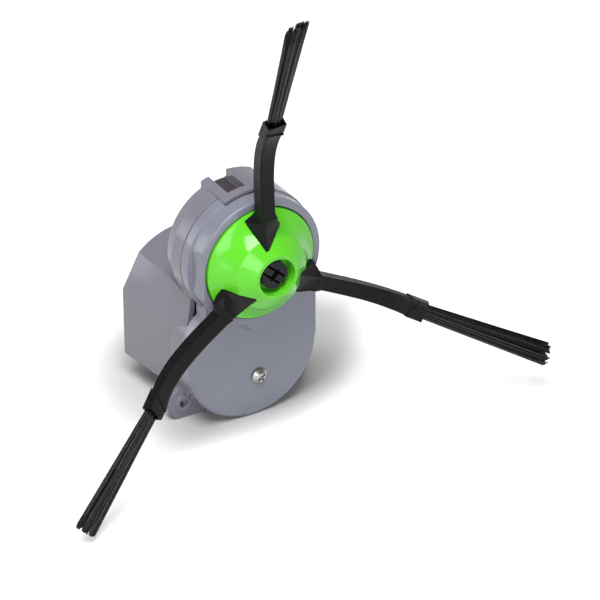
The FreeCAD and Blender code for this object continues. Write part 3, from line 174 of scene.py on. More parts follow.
class SideBrushColours(bpy.types.PropertyGroup):
    """Colours of the module's finishes."""

    # The front shell's bluer tint against the rear shell is painted reflection: both are one grey
    # plastic
    front_shell: colour_property("Front shell", "Moulded front cover and collar", "7F818F")
    rear_shell: colour_property("Rear shell", "Moulded gearbox and motor housing", "7C7884")
    # Painted shade: a dark colour laid on the window's floor where shade falls
    painted_window_shade: colour_property("Recess", "Floor of the snap window, deep in shade", "3B3738")
    hub: colour_property("Hub", "Green hub cap", "5FCB29")
    rubber: colour_property("Rubber", "Arms and sleeves", "121113")
    nylon: colour_property("Nylon", "Bristle filaments", "0C0C0E")
    spindle: colour_property("Spindle", "Black spindle with its snap post", "15171B")
    # Painted shade: a near-black colour laid on the slots' floors and key hole where shade falls
    slot: colour_property("Slot", "Floors of the post's slots, deep in shade", "040405")
    gears: colour_property("Gears", "Natural acetal gears", "E4E0D2")
    bracket: colour_property("Bracket", "Dark moulded bracket and motor end cap", "3A3C42")
    nickel: colour_property("Nickel", "Nickel-plated screws", "AAA8A4")
    steel: colour_property("Steel", "Bright steel pins, shaft and clip", "B9BBBF")
    can: colour_property("Can", "Zinc-plated motor can", "A9AEB4")
    bronze: colour_property("Bronze", "Sintered bronze bushes", "A5763F")
    felt: colour_property("Felt", "Felt dust seal", "4B4A48")
    ferrite: colour_property("Ferrite", "Motor magnets", "34343A")
    copper: colour_property("Copper", "Rotor windings", "B4622F")
    brass: colour_property("Brass", "Contact blades and leaves", "C9A14E")
    floor: colour_property("Floor", "Pale studio floor", "CECECE")


class SideBrushStudio(bpy.types.PropertyGroup):
    """Camera and light of the studio."""

    azimuth: FloatProperty(
        name="Azimuth", description="Camera's turn round the module from straight in front",
        default=math.radians(-30.76), subtype="ANGLE", unit="ROTATION")
    elevation: FloatProperty(
        name="Elevation", description="Camera's height above the horizon as an angle",
        default=math.radians(30.70), subtype="ANGLE", unit="ROTATION")
    roll: FloatProperty(
        name="Roll", description="Camera's turn about its own line of sight",
        default=math.radians(-0.19), subtype="ANGLE", unit="ROTATION")
    distance: length_property("Distance", "Camera's distance from the brush hub", 0.842)
    aim_right: FloatProperty(
        name="Aim right", description="How far right of the hub the camera looks",
        default=9.18 * MM, precision=5, subtype="DISTANCE", unit="LENGTH")
    aim_up: FloatProperty(
        name="Aim up", description="How far above the hub the camera looks",
        default=-8.61 * MM, precision=5, subtype="DISTANCE", unit="LENGTH")
    focal_length: FloatProperty(
        name="Focal length", description="Lens for a 36 mm wide sensor",
        default=220.0, unit="CAMERA")
    key_power: FloatProperty(
        name="Key power", description="Softbox overhead at left", default=8.2, unit="POWER")
    top_power: FloatProperty(
        name="Top power", description="Softbox overhead", default=1.0, unit="POWER")
    front_power: FloatProperty(
        name="Front power", description="Softbox in front", default=3.0, unit="POWER")
    card_power: FloatProperty(
        name="Card power", description="Bright card standing low at front left",
        default=0.02, unit="POWER")
    strip_power: FloatProperty(
        name="Strip power", description="Tall softbox at back left, for the collar's highlight",
        default=0.4, unit="POWER")
    ambient: FloatProperty(
        name="Ambient", description="Even light from all round", default=0.2, min=0.0)
    ceiling: FloatProperty(
        name="Ceiling", description="How bright reflections find the studio overhead",
        default=0.25, min=0.0)
    # Painted light: the floor's glow, which the camera and reflections see
    painted_floor_glow: FloatProperty(
        name="Floor glow", description="White that the camera sees added to the floor",
        default=0.5, min=0.0)


# Materials

def base_material(name, colour, roughness, metallic=0.0):
    """A material with its node tree, its shader and the object's own coordinates."""
    material = bpy.data.materials.new(name)
    material.use_nodes = True
    tree = material.node_tree
    shader = tree.nodes["Principled BSDF"]
    shader.inputs["Base Color"].default_value = (*colour, 1)
    shader.inputs["Roughness"].default_value = roughness
    shader.inputs["Metallic"].default_value = metallic
    where = tree.nodes.new("ShaderNodeTexCoord").outputs["Object"]
    return material, tree, shader, where


def noise(tree, where, grain, detail=3.0, stretch=None):
    """Noise with a grain of the given size in metres, drawn out along one axis if asked."""
    if stretch is not None:
        mapping = tree.nodes.new("ShaderNodeMapping")
        mapping.inputs["Scale"].default_value = stretch
        tree.links.new(where, mapping.inputs["Vector"])
        where = mapping.outputs["Vector"]
    node = tree.nodes.new("ShaderNodeTexNoise")
    node.inputs["Scale"].default_value = 1 / grain
    node.inputs["Detail"].default_value = detail
    tree.links.new(where, node.inputs["Vector"])
    return node.outputs["Fac"]


def mottle(tree, shader, value, colour, depth):
    """Let the base colour drift between two near shades."""
    ramp = tree.nodes.new("ShaderNodeValToRGB")
    for element, share in zip(ramp.color_ramp.elements, (1 - depth, 1 + depth)):
        element.color = (*(min(1, c * share) for c in colour), 1)
    ramp.color_ramp.elements[0].position = 0.35
    ramp.color_ramp.elements[1].position = 0.65
    tree.links.new(value, ramp.inputs["Fac"])
    tree.links.new(ramp.outputs["Color"], shader.inputs["Base Color"])


def vary_roughness(tree, shader, value, low, high):
    """Let the roughness drift between two values."""
    span = tree.nodes.new("ShaderNodeMapRange")
    span.inputs["From Min"].default_value = 0.3
    span.inputs["From Max"].default_value = 0.7
    span.inputs["To Min"].default_value = low
    span.inputs["To Max"].default_value = high
    tree.links.new(value, span.inputs["Value"])
    tree.links.new(span.outputs["Result"], shader.inputs["Roughness"])


def emboss(tree, shader, value, height, edge=0.0):
    """Raise the surface by a noise, and round its shading at edges by a radius if given."""
    bump = tree.nodes.new("ShaderNodeBump")
    bump.inputs["Distance"].default_value = height
    tree.links.new(value, bump.inputs["Height"])
    if edge:
        rounding = tree.nodes.new("ShaderNodeBevel")
        rounding.samples = 8
        rounding.inputs["Radius"].default_value = edge
        tree.links.new(rounding.outputs["Normal"], bump.inputs["Normal"])
    tree.links.new(bump.outputs["Normal"], shader.inputs["Normal"])


def moulded_plastic(name, colour, roughness, edge=0.0, gloss=0.5):
    """Glossy moulded plastic: soft flow shades, uneven polish and a very fine skin."""
    material, tree, shader, where = base_material(name, colour, roughness)
    shader.inputs["Specular IOR Level"].default_value = gloss
    flow = noise(tree, where, grain=30 * MM, detail=1.0)
    polish = noise(tree, where, grain=7 * MM, detail=2.0)
    skin = noise(tree, where, grain=0.35 * MM, detail=2.0)
    mottle(tree, shader, flow, colour, depth=0.02)
    vary_roughness(tree, shader, polish, low=roughness - 0.02, high=roughness + 0.03)
    emboss(tree, shader, skin, height=0.0012 * MM, edge=edge)
    return material


def satin_rubber(name, colour, edge):
    """Satin rubber with a fine pebbled skin and slightly dusty patches."""
    material, tree, shader, where = base_material(name, colour, 0.36)
    shader.inputs["Specular IOR Level"].default_value = 0.12
    dust = noise(tree, where, grain=4 * MM)
    polish = noise(tree, where, grain=1.4 * MM)
    pebbles = noise(tree, where, grain=0.24 * MM, detail=2.0)
    mottle(tree, shader, dust, colour, depth=0.25)
    vary_roughness(tree, shader, polish, low=0.3, high=0.42)
    emboss(tree, shader, pebbles, height=0.012 * MM, edge=edge)
    return material


def nylon_filament(name, colour):
    """Extruded black nylon, each filament a little lighter or darker than its neighbours."""
    material, tree, shader, where = base_material(name, colour, 0.26)
    shader.inputs["Specular IOR Level"].default_value = 0.22
    strand = tree.nodes.new("ShaderNodeAttribute")
    strand.attribute_name = "strand"
    ramp = tree.nodes.new("ShaderNodeValToRGB")
    dark, pale = ramp.color_ramp.elements
    dark.color = (*(c * 0.3 for c in colour), 1)
    dark.position = 0.65
    pale.color = (*(c * 14 for c in colour), 1)
    tree.links.new(strand.outputs["Fac"], ramp.inputs["Fac"])
    tree.links.new(ramp.outputs["Color"], shader.inputs["Base Color"])
    wear = noise(tree, where, grain=1.5 * MM)
    vary_roughness(tree, shader, wear, low=0.2, high=0.34)
    return material


def worked_metal(name, colour, roughness, stretch=None):
    """Bright metal with fine tool marks, drawn out along one axis if asked."""
    material, tree, shader, where = base_material(name, colour, roughness, 1.0)
    marks = noise(tree, where, grain=0.25 * MM, detail=4.0, stretch=stretch)
    tarnish = noise(tree, where, grain=2.5 * MM)
    mottle(tree, shader, tarnish, colour, depth=0.06)
    vary_roughness(tree, shader, marks, low=roughness - 0.06, high=roughness + 0.1)
    emboss(tree, shader, marks, height=0.004 * MM)
    return material


def pressed_felt(name, colour):
    """Felt with short tangled fibres."""
    material, tree, shader, where = base_material(name, colour, 0.95)
    fibres = noise(tree, where, grain=0.15 * MM, detail=6.0)
    mottle(tree, shader, fibres, colour, depth=0.35)
    emboss(tree, shader, fibres, height=0.08 * MM)
    return material


def layered_metal(name, colour, roughness, pitch, distortion, depth, height):
    """Metal laid in layers along the shaft: a pitch, and how even, shaded and deep they are."""
    material, tree, shader, where = base_material(name, colour, roughness, 1.0)
    layers = tree.nodes.new("ShaderNodeTexWave")
    layers.bands_direction = "Y"
    layers.inputs["Scale"].default_value = 1 / pitch
    layers.inputs["Distortion"].default_value = distortion
    tree.links.new(where, layers.inputs["Vector"])
    mottle(tree, shader, layers.outputs["Fac"], colour, depth)
    emboss(tree, shader, layers.outputs["Fac"], height)
    return material


def wound_wire(name, colour):
    """Enamelled copper wire laid side by side round a pole."""
    return layered_metal(name, colour, roughness=0.3, pitch=1.6 * MM, distortion=0.6,
                         depth=0.3, height=0.06 * MM)


def stacked_steel(name, colour):
    """Thin core plates stacked along the shaft."""
    return layered_metal(name, colour, roughness=0.42, pitch=1.1 * MM, distortion=0.05,
                         depth=0.25, height=0.03 * MM)


# Shaping and finishing

def dress(names, material):
    """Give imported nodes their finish."""
    for name in names:
        node = NODES[name]
        node.data.materials.clear()
        node.data.materials.append(material)


def soften(name, edge):
    """Round a node's sharp edges with modifiers, and leave its own mesh as it is."""
    node = NODES[name]
    weld = node.modifiers.new("join_facets", "WELD")
    weld.merge_threshold = 2 * TOUCH
    flatten = node.modifiers.new("merge_flats", "DECIMATE")
    flatten.decimate_type = "DISSOLVE"
    flatten.angle_limit = math.radians(0.5)
    bevel = node.modifiers.new("round_edges", "BEVEL")
    bevel.limit_method = "ANGLE"
    bevel.angle_limit = math.radians(32.0)
    bevel.width = edge
    bevel.segments = 2
    bevel.use_clamp_overlap = True
    bevel.harden_normals = True
    bevel.face_strength_mode = "FSTR_AFFECTED"
    shade = node.modifiers.new("even_shading", "WEIGHTED_NORMAL")
    shade.mode = "FACE_AREA_WITH_ANGLE"
    shade.weight = 50
    shade.use_face_influence = True
    shade.keep_sharp = False


def finished_mesh(name, mesh):
    """Turn a mesh in the making into mesh data."""
    made = bpy.data.meshes.new(name)
    mesh.to_mesh(made)
    mesh.free()
    return made


def new_piece(name, mesh, material, body):
    """A piece of the scene's own that moves with a body."""
    piece = bpy.data.objects.new(name, mesh)
    bpy.context.scene.collection.objects.link(piece)
    mesh.materials.append(material)
    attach(piece, body)
    return piece


def keep_normals(made, source):
    """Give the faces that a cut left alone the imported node's own normals."""
    triangles = [tuple(face.vertices) for face in source.polygons]
    tree = BVHTree.FromPolygons([vertex.co for vertex in source.vertices], triangles)
    normals = []
    for face in made.polygons:
        _, normal, index, distance = tree.find_nearest(face.center)
        kept = distance < TOUCH and normal.dot(face.normal) > 0.99
        corners = source.polygons[index].loop_indices
        for vertex in face.vertices:
            shade = face.normal
            if kept:
                shade = barycentric_transform(
                    made.vertices[vertex].co,
                    *(source.vertices[v].co for v in triangles[index]),
                    *(source.corner_normals[corner].vector for corner in corners))
            normals.append(shade.normalized() if shade.length > 0.5 else face.normal)
    made.normals_split_custom_set(normals)


def shade_window_floor(made, sizes, painted_window_shade):
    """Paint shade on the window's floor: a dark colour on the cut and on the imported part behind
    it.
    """
    made.materials.append(painted_window_shade)
    dark = len(made.materials) - 1
    for face in made.polygons:
        x, y, z = face.center
        inside = -sizes.window_width < x < 0 and sizes.window_front < y < sizes.window_back
        low = sizes.window_floor - MM < math.hypot(x, z) < sizes.window_floor + 0.3 * MM
        if inside and low and face.normal.z > FACING:
            face.material_index = dark


def reshaped_copy(name, material, body, *tools):
    """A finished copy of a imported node, with each tool's space added or cut away in turn."""
    source = NODES[name].data
    welded = bmesh.new()
    welded.from_mesh(source)
    bmesh.ops.remove_doubles(welded, verts=welded.verts, dist=TOUCH)
    blank = finished_mesh(f"{name}_blank", welded)
    blank.materials.append(material)
    piece = bpy.data.objects.new(f"{name}_detailed", blank)
    bpy.context.scene.collection.objects.link(piece)
    helpers = []
    for operation, tool in tools:
        helper = bpy.data.objects.new("shaping_tool", tool)
        bpy.context.scene.collection.objects.link(helper)
        helpers.append(helper)
        step = piece.modifiers.new("shape", "BOOLEAN")
        step.operation = operation
        step.object = helper
        step.solver = "EXACT"
    view = bpy.context.evaluated_depsgraph_get()
    made = bpy.data.meshes.new_from_object(piece.evaluated_get(view))
    piece.modifiers.clear()
    piece.data = made
    for helper in helpers:
        bpy.data.objects.remove(helper)
    made.polygons.foreach_set("use_smooth", [True] * len(made.polygons))
    keep_normals(made, source)
    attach(piece, body)
    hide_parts(name)
    return piece


def prism(name, ends):
    """A closed block between two like outlines."""
    mesh = bmesh.new()
    sides = [[mesh.verts.new(corner) for corner in end] for end in ends]
    mesh.faces.new(sides[0])
    mesh.faces.new(list(reversed(sides[1])))
    count = len(sides[0])
    for index in range(count):
        following = (index + 1) % count
        mesh.faces.new((sides[0][following], sides[0][index],
                        sides[1][index], sides[1][following]))
    bmesh.ops.recalc_face_normals(mesh, faces=mesh.faces)
    return finished_mesh(name, mesh)


def window_space(sizes):
    """The space of the tongue's window: a well behind a shallow catch ledge."""
    open_side = COLLAR_TOP + MM
    floor, ledge = sizes.window_floor, COLLAR_TOP - sizes.ledge_drop
    front, step = sizes.window_front, sizes.window_front + sizes.window_ledge
    profile = [(front, open_side), (front, ledge), (step, ledge), (step, floor),
               (sizes.window_back, floor), (sizes.window_back, open_side)]
    return prism("window_space", [[(x, y, z) for y, z in profile]
                                  for x in (-sizes.window_width, 0)])


def post_block(name, outline, depths, sizes):
    """A block in the split post, from an outline across and along its slots."""
    turn = Matrix.Rotation(-sizes.slot_turn, 3, "Y")
    return prism(name, [
        [turn @ Vector((across, POST_FACE + depth, along)) for across, along in outline]
        for depth in depths])


def slot_web(side, sizes):
    """The floor of one of the post's slots."""
    half, reach = sizes.slot_width / 2, sizes.slot_reach
    near, far = (side * (sizes.slot_offset + step * half) for step in (-1, 1))
    outline = [(near, -reach), (far, -reach), (far, reach), (near, reach)]
    return post_block("slot_web", outline,
                      (sizes.slot_floor, sizes.slot_floor + sizes.slot_web), sizes)


def key_space(sizes):
    """The cross-shaped key hole in the middle of the post's face."""
    wide, narrow = sizes.key_size / 2, sizes.key_size / 4
    inner = sizes.slot_offset - sizes.slot_width / 6
    quarter = [(inner, wide), (inner, narrow), (sizes.key_reach, narrow)]
    outline = []
    for across, along, order in ((1, 1, 1), (1, -1, -1), (-1, -1, 1), (-1, 1, -1)):
        outline += [(across * x, along * z) for x, z in quarter[::order]]
    return post_block("key_space", outline, (-MM, sizes.key_depth), sizes)


def shade_slots(made, sizes, shade):
    """Paint shade on the floors of the post's slots and key hole, as a near-black colour."""
    made.materials.append(shade)
    dark = len(made.materials) - 1
    for face in made.polygons:
        depth = face.center.y - POST_FACE
        if sizes.slot_floor / 2 < depth < 2 * sizes.slot_floor and face.normal.y < -FACING:
            face.material_index = dark


# Bristle tufts

# Where the clumps stand in a tuft, as a share of its radius
CLUMP_RING = 0.8
# How much of the sleeve's mouth the filaments' roots fill
ROOT_FILL = 0.92
# How far filaments lean to their clump, least and most
GATHERING = (0.24, 0.4)
# How far a filament's place is moved, as a share of the tuft's radius
PLACE_SHIFT = 0.05
TUFT_SEED = 40
SEAM_SEED = 70
SEAM_STEPS = 16
FILAMENT_STEPS = 9
FILAMENT_SIDES = 6


def tuft_frame(number, lean):
    """The matrix that stands a tuft's own upright frame at its arm."""
    return Matrix.Rotation(-(lean + (number - 1) * math.tau / 3), 4, "Y")


def tuft_ends(node, stand):
    """Centre and half sizes of a packed tuft's root and slanted tip, in its upright frame."""
    back = stand.inverted()
    points = [back @ vertex.co for vertex in node.data.vertices]
    low, high = min(p.z for p in points), max(p.z for p in points)
    margin = (high - low) / 10
    rings = ([p for p in points if p.z < low + margin], [p for p in points if p.z > high - margin])
    ends = []
    for ring in rings:
        least = Vector([min(p[axis] for p in ring) for axis in range(3)])
        most = Vector([max(p[axis] for p in ring) for axis in range(3)])
        ends.append(((least + most) / 2, (most - least) / 2))
    return ends


def disc_places(count, chooser):
    """Evenly spread places in a unit disc, each moved a little."""
    golden = math.pi * (3 - math.sqrt(5))
    for index in range(count):
        radius = math.sqrt((index + 0.5) / count)
        angle = index * golden
        yield (radius * math.cos(angle) + chooser.uniform(-PLACE_SHIFT, PLACE_SHIFT),
               radius * math.sin(angle) + chooser.uniform(-PLACE_SHIFT, PLACE_SHIFT))


def seam_mesh(number, sizes):
    """The rough moulding bead that crosses an arm's face where its sleeve begins."""
    chooser = random.Random(SEAM_SEED + number)
    stand = tuft_frame(number, sizes.arm_lean)
    back = stand.inverted()
    points = [back @ vertex.co for vertex in NODES[f"tuft_sleeve_{number}"].data.vertices]
    seam = min(p.z for p in points)
    ring = [p for p in points if p.z < seam + 0.1 * MM]
    half, front = max(p.x for p in ring), min(p.y for p in ring)
    brow = min((p for p in points if p.z > seam + MM), key=lambda p: p.y)
    slope = (brow.y - front) / (brow.z - seam)
    path = []
    for step in range(SEAM_STEPS + 1):
        share = 1 - 2 * step / SEAM_STEPS
        along = sizes.seam_slant * (1 - share) / 2
        place = Vector((half * share, front + slope * along, seam + along))
        rough = Vector([chooser.uniform(-1, 1) for _ in range(3)]) * sizes.seam_size / 3
        path.append(stand @ (place + rough))
    mesh = bmesh.new()
    add_filament(mesh, path, sizes.seam_size, chooser)
    return finished_mesh(f"sleeve_seam_{number}", mesh)


def add_filament(mesh, path, radius, chooser):
    """A round filament along a path, closed at both ends, with a shade of its own."""
    strand = mesh.verts.layers.float.get("strand") or mesh.verts.layers.float.new("strand")
    shade = chooser.random()
    rings = []
    for index, point in enumerate(path):
        before = path[max(index - 1, 0)]
        after = path[min(index + 1, len(path) - 1)]
        along = (after - before).normalized()
        across = along.orthogonal().normalized()
        beside = along.cross(across)
        rings.append([
            mesh.verts.new(point + radius * (across * math.cos(turn) + beside * math.sin(turn)))
            for turn in (math.tau * side / FILAMENT_SIDES for side in range(FILAMENT_SIDES))
        ])
    for low, high in zip(rings, rings[1:]):
        for side in range(FILAMENT_SIDES):
            following = (side + 1) % FILAMENT_SIDES
            face = mesh.faces.new((low[side], low[following], high[following], high[side]))
            face.smooth = True
    mesh.faces.new(rings[-1])
    mesh.faces.new(list(reversed(rings[0])))
    for ring in rings:
        for vertex in ring:
            vertex[strand] = shade


def bristle_mesh(number, sizes):
    """A tuft of straight filaments that spread a little and gather in clumps."""
    chooser = random.Random(TUFT_SEED + number)
    stand = tuft_frame(number, sizes.arm_lean)
    (root, root_half), (tip, tip_half) = tuft_ends(NODES[f"bristle_tuft_{number}"], stand)
    clumps = [(0.0, 0.0)]
    for clump in range(sizes.clumps):
        angle = math.tau * clump / sizes.clumps + number
        clumps.append((CLUMP_RING * math.cos(angle), CLUMP_RING * math.sin(angle)))
    mesh = bmesh.new()
    for across, along in disc_places(sizes.filaments, chooser):
        clump = min(clumps, key=lambda c: math.hypot(c[0] - across, c[1] - along))
        start = root + Vector((across * root_half.x, along * root_half.y, 0)) * ROOT_FILL
        start.z = root.z
        near = chooser.uniform(*GATHERING)
        out_across = sizes.tip_spread * (across + (clump[0] - across) * near)
        out_along = sizes.tip_spread * (along + (clump[1] - along) * near)
        end = tip + Vector((out_across * tip_half.x, out_along * tip_half.y,
                            out_across * tip_half.z * sizes.tip_slant))
        end -= (end - start).normalized() * chooser.uniform(0.0, sizes.filament_stagger)
        bow = Vector((chooser.uniform(-1, 1), chooser.uniform(-1, 1), 0)) * sizes.filament_bow
        wave = chooser.uniform(0, math.tau)
        path = []
        for step in range(FILAMENT_STEPS):
            share = step / (FILAMENT_STEPS - 1)
            sway = math.sin(math.pi * share) * (1 + 0.5 * math.sin(3 * math.pi * share + wave))
            path.append(stand @ (start.lerp(end, share) + bow * sway))
        add_filament(mesh, path, sizes.filament_radius, chooser)
    return finished_mesh(f"bristles_{number}", mesh)


# Studio

def view_axes(studio):
    """Right, up and back of the camera for its azimuth and elevation."""
    turn, rise = studio.azimuth, studio.elevation
    back = Vector((math.sin(turn) * math.cos(rise), -math.cos(turn) * math.cos(rise),
                   math.sin(rise)))
    right = Vector((math.cos(turn), math.sin(turn), 0))
    return right, back.cross(right), back


def add_camera(studio):
    """The camera at the studio's angles, looking at the hub."""
    right, up, back = view_axes(studio)
    camera = bpy.data.objects.new("camera", bpy.data.cameras.new("camera"))
    bpy.context.scene.collection.objects.link(camera)
    camera.data.lens = studio.focal_length
    camera.data.sensor_width = 36.0
    camera.data.clip_start = 0.02
    camera.data.clip_end = 20.0
    axes = Matrix((right, up, back)).transposed().to_4x4()
    place = back * studio.distance + right * studio.aim_right + up * studio.aim_up
    camera.matrix_world = Matrix.Translation(place) @ axes @ Matrix.Rotation(studio.roll, 4, "Z")
    bpy.context.scene.camera = camera


def add_softbox(name, place, size, power):
    """A soft rectangular lamp that faces the hub."""
    light = bpy.data.lights.new(name, "AREA")
    light.shape = "RECTANGLE"
    light.size, light.size_y = size
    light.energy = power
    lamp = bpy.data.objects.new(name, light)
    bpy.context.scene.collection.objects.link(lamp)
    lamp.location = place
    lamp.rotation_euler = (-Vector(place)).to_track_quat("-Z", "Y").to_euler()


def combine(tree, operation, first, second):
    """The result of a sum on two node outputs, or on an output and a number."""
    node = tree.nodes.new("ShaderNodeMath")
    node.operation = operation
    tree.links.new(first, node.inputs[0])
    if isinstance(second, float):
        node.inputs[1].default_value = second
    else:
        tree.links.new(second, node.inputs[1])
    return node.outputs["Value"]


def seen_rays(tree):
    """One for rays from the camera, from gloss and through glass, else nothing."""
    paths = tree.nodes.new("ShaderNodeLightPath").outputs
    seen = combine(tree, "MAXIMUM", paths["Is Camera Ray"], paths["Is Glossy Ray"])
    return combine(tree, "MAXIMUM", seen, paths["Is Transmission Ray"])


def smooth_rise(tree, value, start, end, low=0.0, high=1.0):
    """A smooth change from one level to another while a value goes from start to end."""
    rise = tree.nodes.new("ShaderNodeMapRange")
    rise.interpolation_type = "SMOOTHSTEP"
    rise.inputs["From Min"].default_value = start
    rise.inputs["From Max"].default_value = end
    rise.inputs["To Min"].default_value = low
    rise.inputs["To Max"].default_value = high
    tree.links.new(value, rise.inputs["Value"])
    return rise.outputs["Result"]


def ceiling_shade(tree, dim):
    """White near the horizon and dimmer overhead, as a reflection finds a studio."""
    direction = tree.nodes.new("ShaderNodeTexCoord").outputs["Generated"]
    parts = tree.nodes.new("ShaderNodeSeparateXYZ")
    tree.links.new(direction, parts.inputs["Vector"])
    return smooth_rise(tree, parts.outputs["Z"], start=0.08, end=0.5, low=1.0, high=dim)


def set_world(studio):
    """Even light all round, which the camera sees as white."""
    world = bpy.data.worlds.new("studio_surround")
    bpy.context.scene.world = world
    world.use_nodes = True
    tree = world.node_tree
    tree.nodes.clear()
    surround = tree.nodes.new("ShaderNodeBackground")
    surround.inputs["Strength"].default_value = studio.ambient
    seen = tree.nodes.new("ShaderNodeBackground")
    camera = tree.nodes.new("ShaderNodeLightPath").outputs["Is Camera Ray"]
    level = combine(tree, "MAXIMUM", camera, ceiling_shade(tree, studio.ceiling))
    tree.links.new(level, seen.inputs["Strength"])
    mix = tree.nodes.new("ShaderNodeMixShader")
    output = tree.nodes.new("ShaderNodeOutputWorld")
    tree.links.new(seen_rays(tree), mix.inputs["Fac"])
    tree.links.new(surround.outputs["Background"], mix.inputs[1])
    tree.links.new(seen.outputs["Background"], mix.inputs[2])
    tree.links.new(mix.outputs["Shader"], output.inputs["Surface"])


def past_shade(tree, where, centre, near, far):
    """Nothing within the near distance of a place on the floor, and one past the far one."""
    distance = tree.nodes.new("ShaderNodeVectorMath")
    distance.operation = "DISTANCE"
    distance.inputs[1].default_value = (*centre, 0)
    tree.links.new(where, distance.inputs[0])
    return smooth_rise(tree, distance.outputs["Value"], start=near, end=far)


def floor_material(colour, glow):
    """White floor with a painted glow that lifts it to the background's white for the camera and
    in reflections, left out round the module so the shadow shows there.
    """
    material, tree, shader, where = base_material("studio_floor", colour, 0.9)
    shader.inputs["Specular IOR Level"].default_value = 0.0
    mottle(tree, shader, noise(tree, where, grain=60 * MM, detail=1.0), colour, depth=0.004)
    # Painted light: the glow's share, left out in the shaded zones round the module
    painted_light_share = combine(tree, "MAXIMUM", *(past_shade(tree, where, *shade) for shade in FLOOR_SHADES))
    level = combine(tree, "MULTIPLY", combine(tree, "MULTIPLY", painted_light_share, seen_rays(tree)), glow)
    tree.links.new(level, shader.inputs["Emission Strength"])
    shader.inputs["Emission Color"].default_value = (1, 1, 1, 1)
    return material


def add_floor(colour, glow):
    """The floor, just under the module."""
    mesh = bmesh.new()
    bmesh.ops.create_grid(mesh, x_segments=8, y_segments=8, size=FLOOR_HALF)
    floor = bpy.data.objects.new("studio_floor", finished_mesh("studio_floor", mesh))
    bpy.context.scene.collection.objects.link(floor)
    floor.data.materials.append(floor_material(colour, glow))
    floor.location = (0, 0, CAD_LOW.z - FLOOR_DROP)


# Operators

class SIDEBRUSH_OT_shells(bpy.types.Operator):
    """Finish the two grey shells in glossy moulded plastic"""

    bl_idname = "side_brush.shells"
    bl_label = "Grey shells"

    def execute(self, context):
        colours, sizes = context.scene.side_brush_colours, context.scene.side_brush_sizes
        front = moulded_plastic("front_shell_plastic", colours.front_shell, 0.15,
                                sizes.shell_edge)
        rear = moulded_plastic("rear_shell_plastic", colours.rear_shell, 0.17,
                               sizes.shell_edge)
        # Painted shade on the window's floor
        painted_window_shade = moulded_plastic("recess_plastic", colours.painted_window_shade, 0.5)
        for name, plastic in (("front_shell", front), ("rear_shell", rear)):
            shell = reshaped_copy(name, plastic, "housing",
                                  ("DIFFERENCE", window_space(sizes)))
            shade_window_floor(shell.data, sizes, painted_window_shade)
        return {"FINISHED"}


class SIDEBRUSH_OT_hub(bpy.types.Operator):
    """Finish the green hub cap"""

    bl_idname = "side_brush.hub"
    bl_label = "Green hub"

    def execute(self, context):
        colours, sizes = context.scene.side_brush_colours, context.scene.side_brush_sizes
        dress(["hub_cap"], moulded_plastic("green_hub_plastic", colours.hub, 0.13,
                                           sizes.hub_edge, 0.42))
        return {"FINISHED"}


class SIDEBRUSH_OT_arms(bpy.types.Operator):
    """Finish the rubber arms and the sleeves at their ends"""

    bl_idname = "side_brush.arms"
    bl_label = "Rubber arms"

    def execute(self, context):
        colours, sizes = context.scene.side_brush_colours, context.scene.side_brush_sizes
        rubber = satin_rubber("arm_rubber", colours.rubber, sizes.rubber_edge)
        dress(["arm_spider"], rubber)
        for number in ARMS:
            dress([f"tuft_sleeve_{number}"], rubber)
            seam = new_piece(f"sleeve_seam_{number}", seam_mesh(number, sizes), rubber, "brush")
        return {"FINISHED"}


class SIDEBRUSH_OT_bristles(bpy.types.Operator):
    """Build the three bristle tufts, filament by filament"""

    bl_idname = "side_brush.bristles"
    bl_label = "Bristle tufts"

    def execute(self, context):
        scene = context.scene
        nylon = nylon_filament("bristle_nylon", scene.side_brush_colours.nylon)
        for number in ARMS:
            tuft = new_piece(f"bristles_{number}", bristle_mesh(number, scene.side_brush_sizes),
                             nylon, "brush")
            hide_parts(f"bristle_tuft_{number}")
        return {"FINISHED"}


class SIDEBRUSH_OT_spindle(bpy.types.Operator):
    """Finish the spindle, its clip, bushes and seal"""

    bl_idname = "side_brush.spindle"
    bl_label = "Spindle and bushes"

    def execute(self, context):
        colours, sizes = context.scene.side_brush_colours, context.scene.side_brush_sizes
        plastic = moulded_plastic("spindle_plastic", colours.spindle, 0.3, sizes.metal_edge, 0.2)
        dress(["spindle"], plastic)
        post = reshaped_copy("spindle", plastic, "brush", ("UNION", slot_web(-1, sizes)),
                             ("UNION", slot_web(1, sizes)), ("DIFFERENCE", key_space(sizes)))
        # Painted shade on the floors of the slots and key hole
        shade_slots(post.data, sizes,
                    moulded_plastic("slot_plastic", colours.slot, 0.7, gloss=0.05))
        dress(["retaining_clip"], worked_metal("clip_steel", colours.steel, 0.3))
        soften("retaining_clip", sizes.metal_edge)
        bronze = worked_metal("sintered_bronze", colours.bronze, 0.42)
        dress(["spindle_bush", "tail_bush", "motor_bush", "end_bush"], bronze)
        dress(["spindle_seal"], pressed_felt("seal_felt", colours.felt))
        return {"FINISHED"}


class SIDEBRUSH_OT_fasteners(bpy.types.Operator):
    """Finish the cover screw and the bracket screws"""

    bl_idname = "side_brush.fasteners"
    bl_label = "Screws"

    def execute(self, context):
        nickel = worked_metal("screw_nickel", context.scene.side_brush_colours.nickel, 0.24)
        dress(["cover_screw", "bracket_screws"], nickel)
        return {"FINISHED"}


class SIDEBRUSH_OT_gears(bpy.types.Operator):
    """Finish the gears, their pins and the bracket"""

    bl_idname = "side_brush.gears"
    bl_label = "Gear train"

    def execute(self, context):
        colours = context.scene.side_brush_colours
        acetal = moulded_plastic("gear_acetal", colours.gears, 0.38)
        dress(["output_gear", "slow_idler_gear", "fast_idler_gear", "drive_pinion"], acetal)
        steel = worked_metal("pin_steel", colours.steel, 0.22, (1, 0.05, 1))
        dress(["slow_idler_pin", "fast_idler_pin", "motor_shaft"], steel)
        dress(["gear_bracket"], moulded_plastic("bracket_plastic", colours.bracket, 0.45))
        return {"FINISHED"}


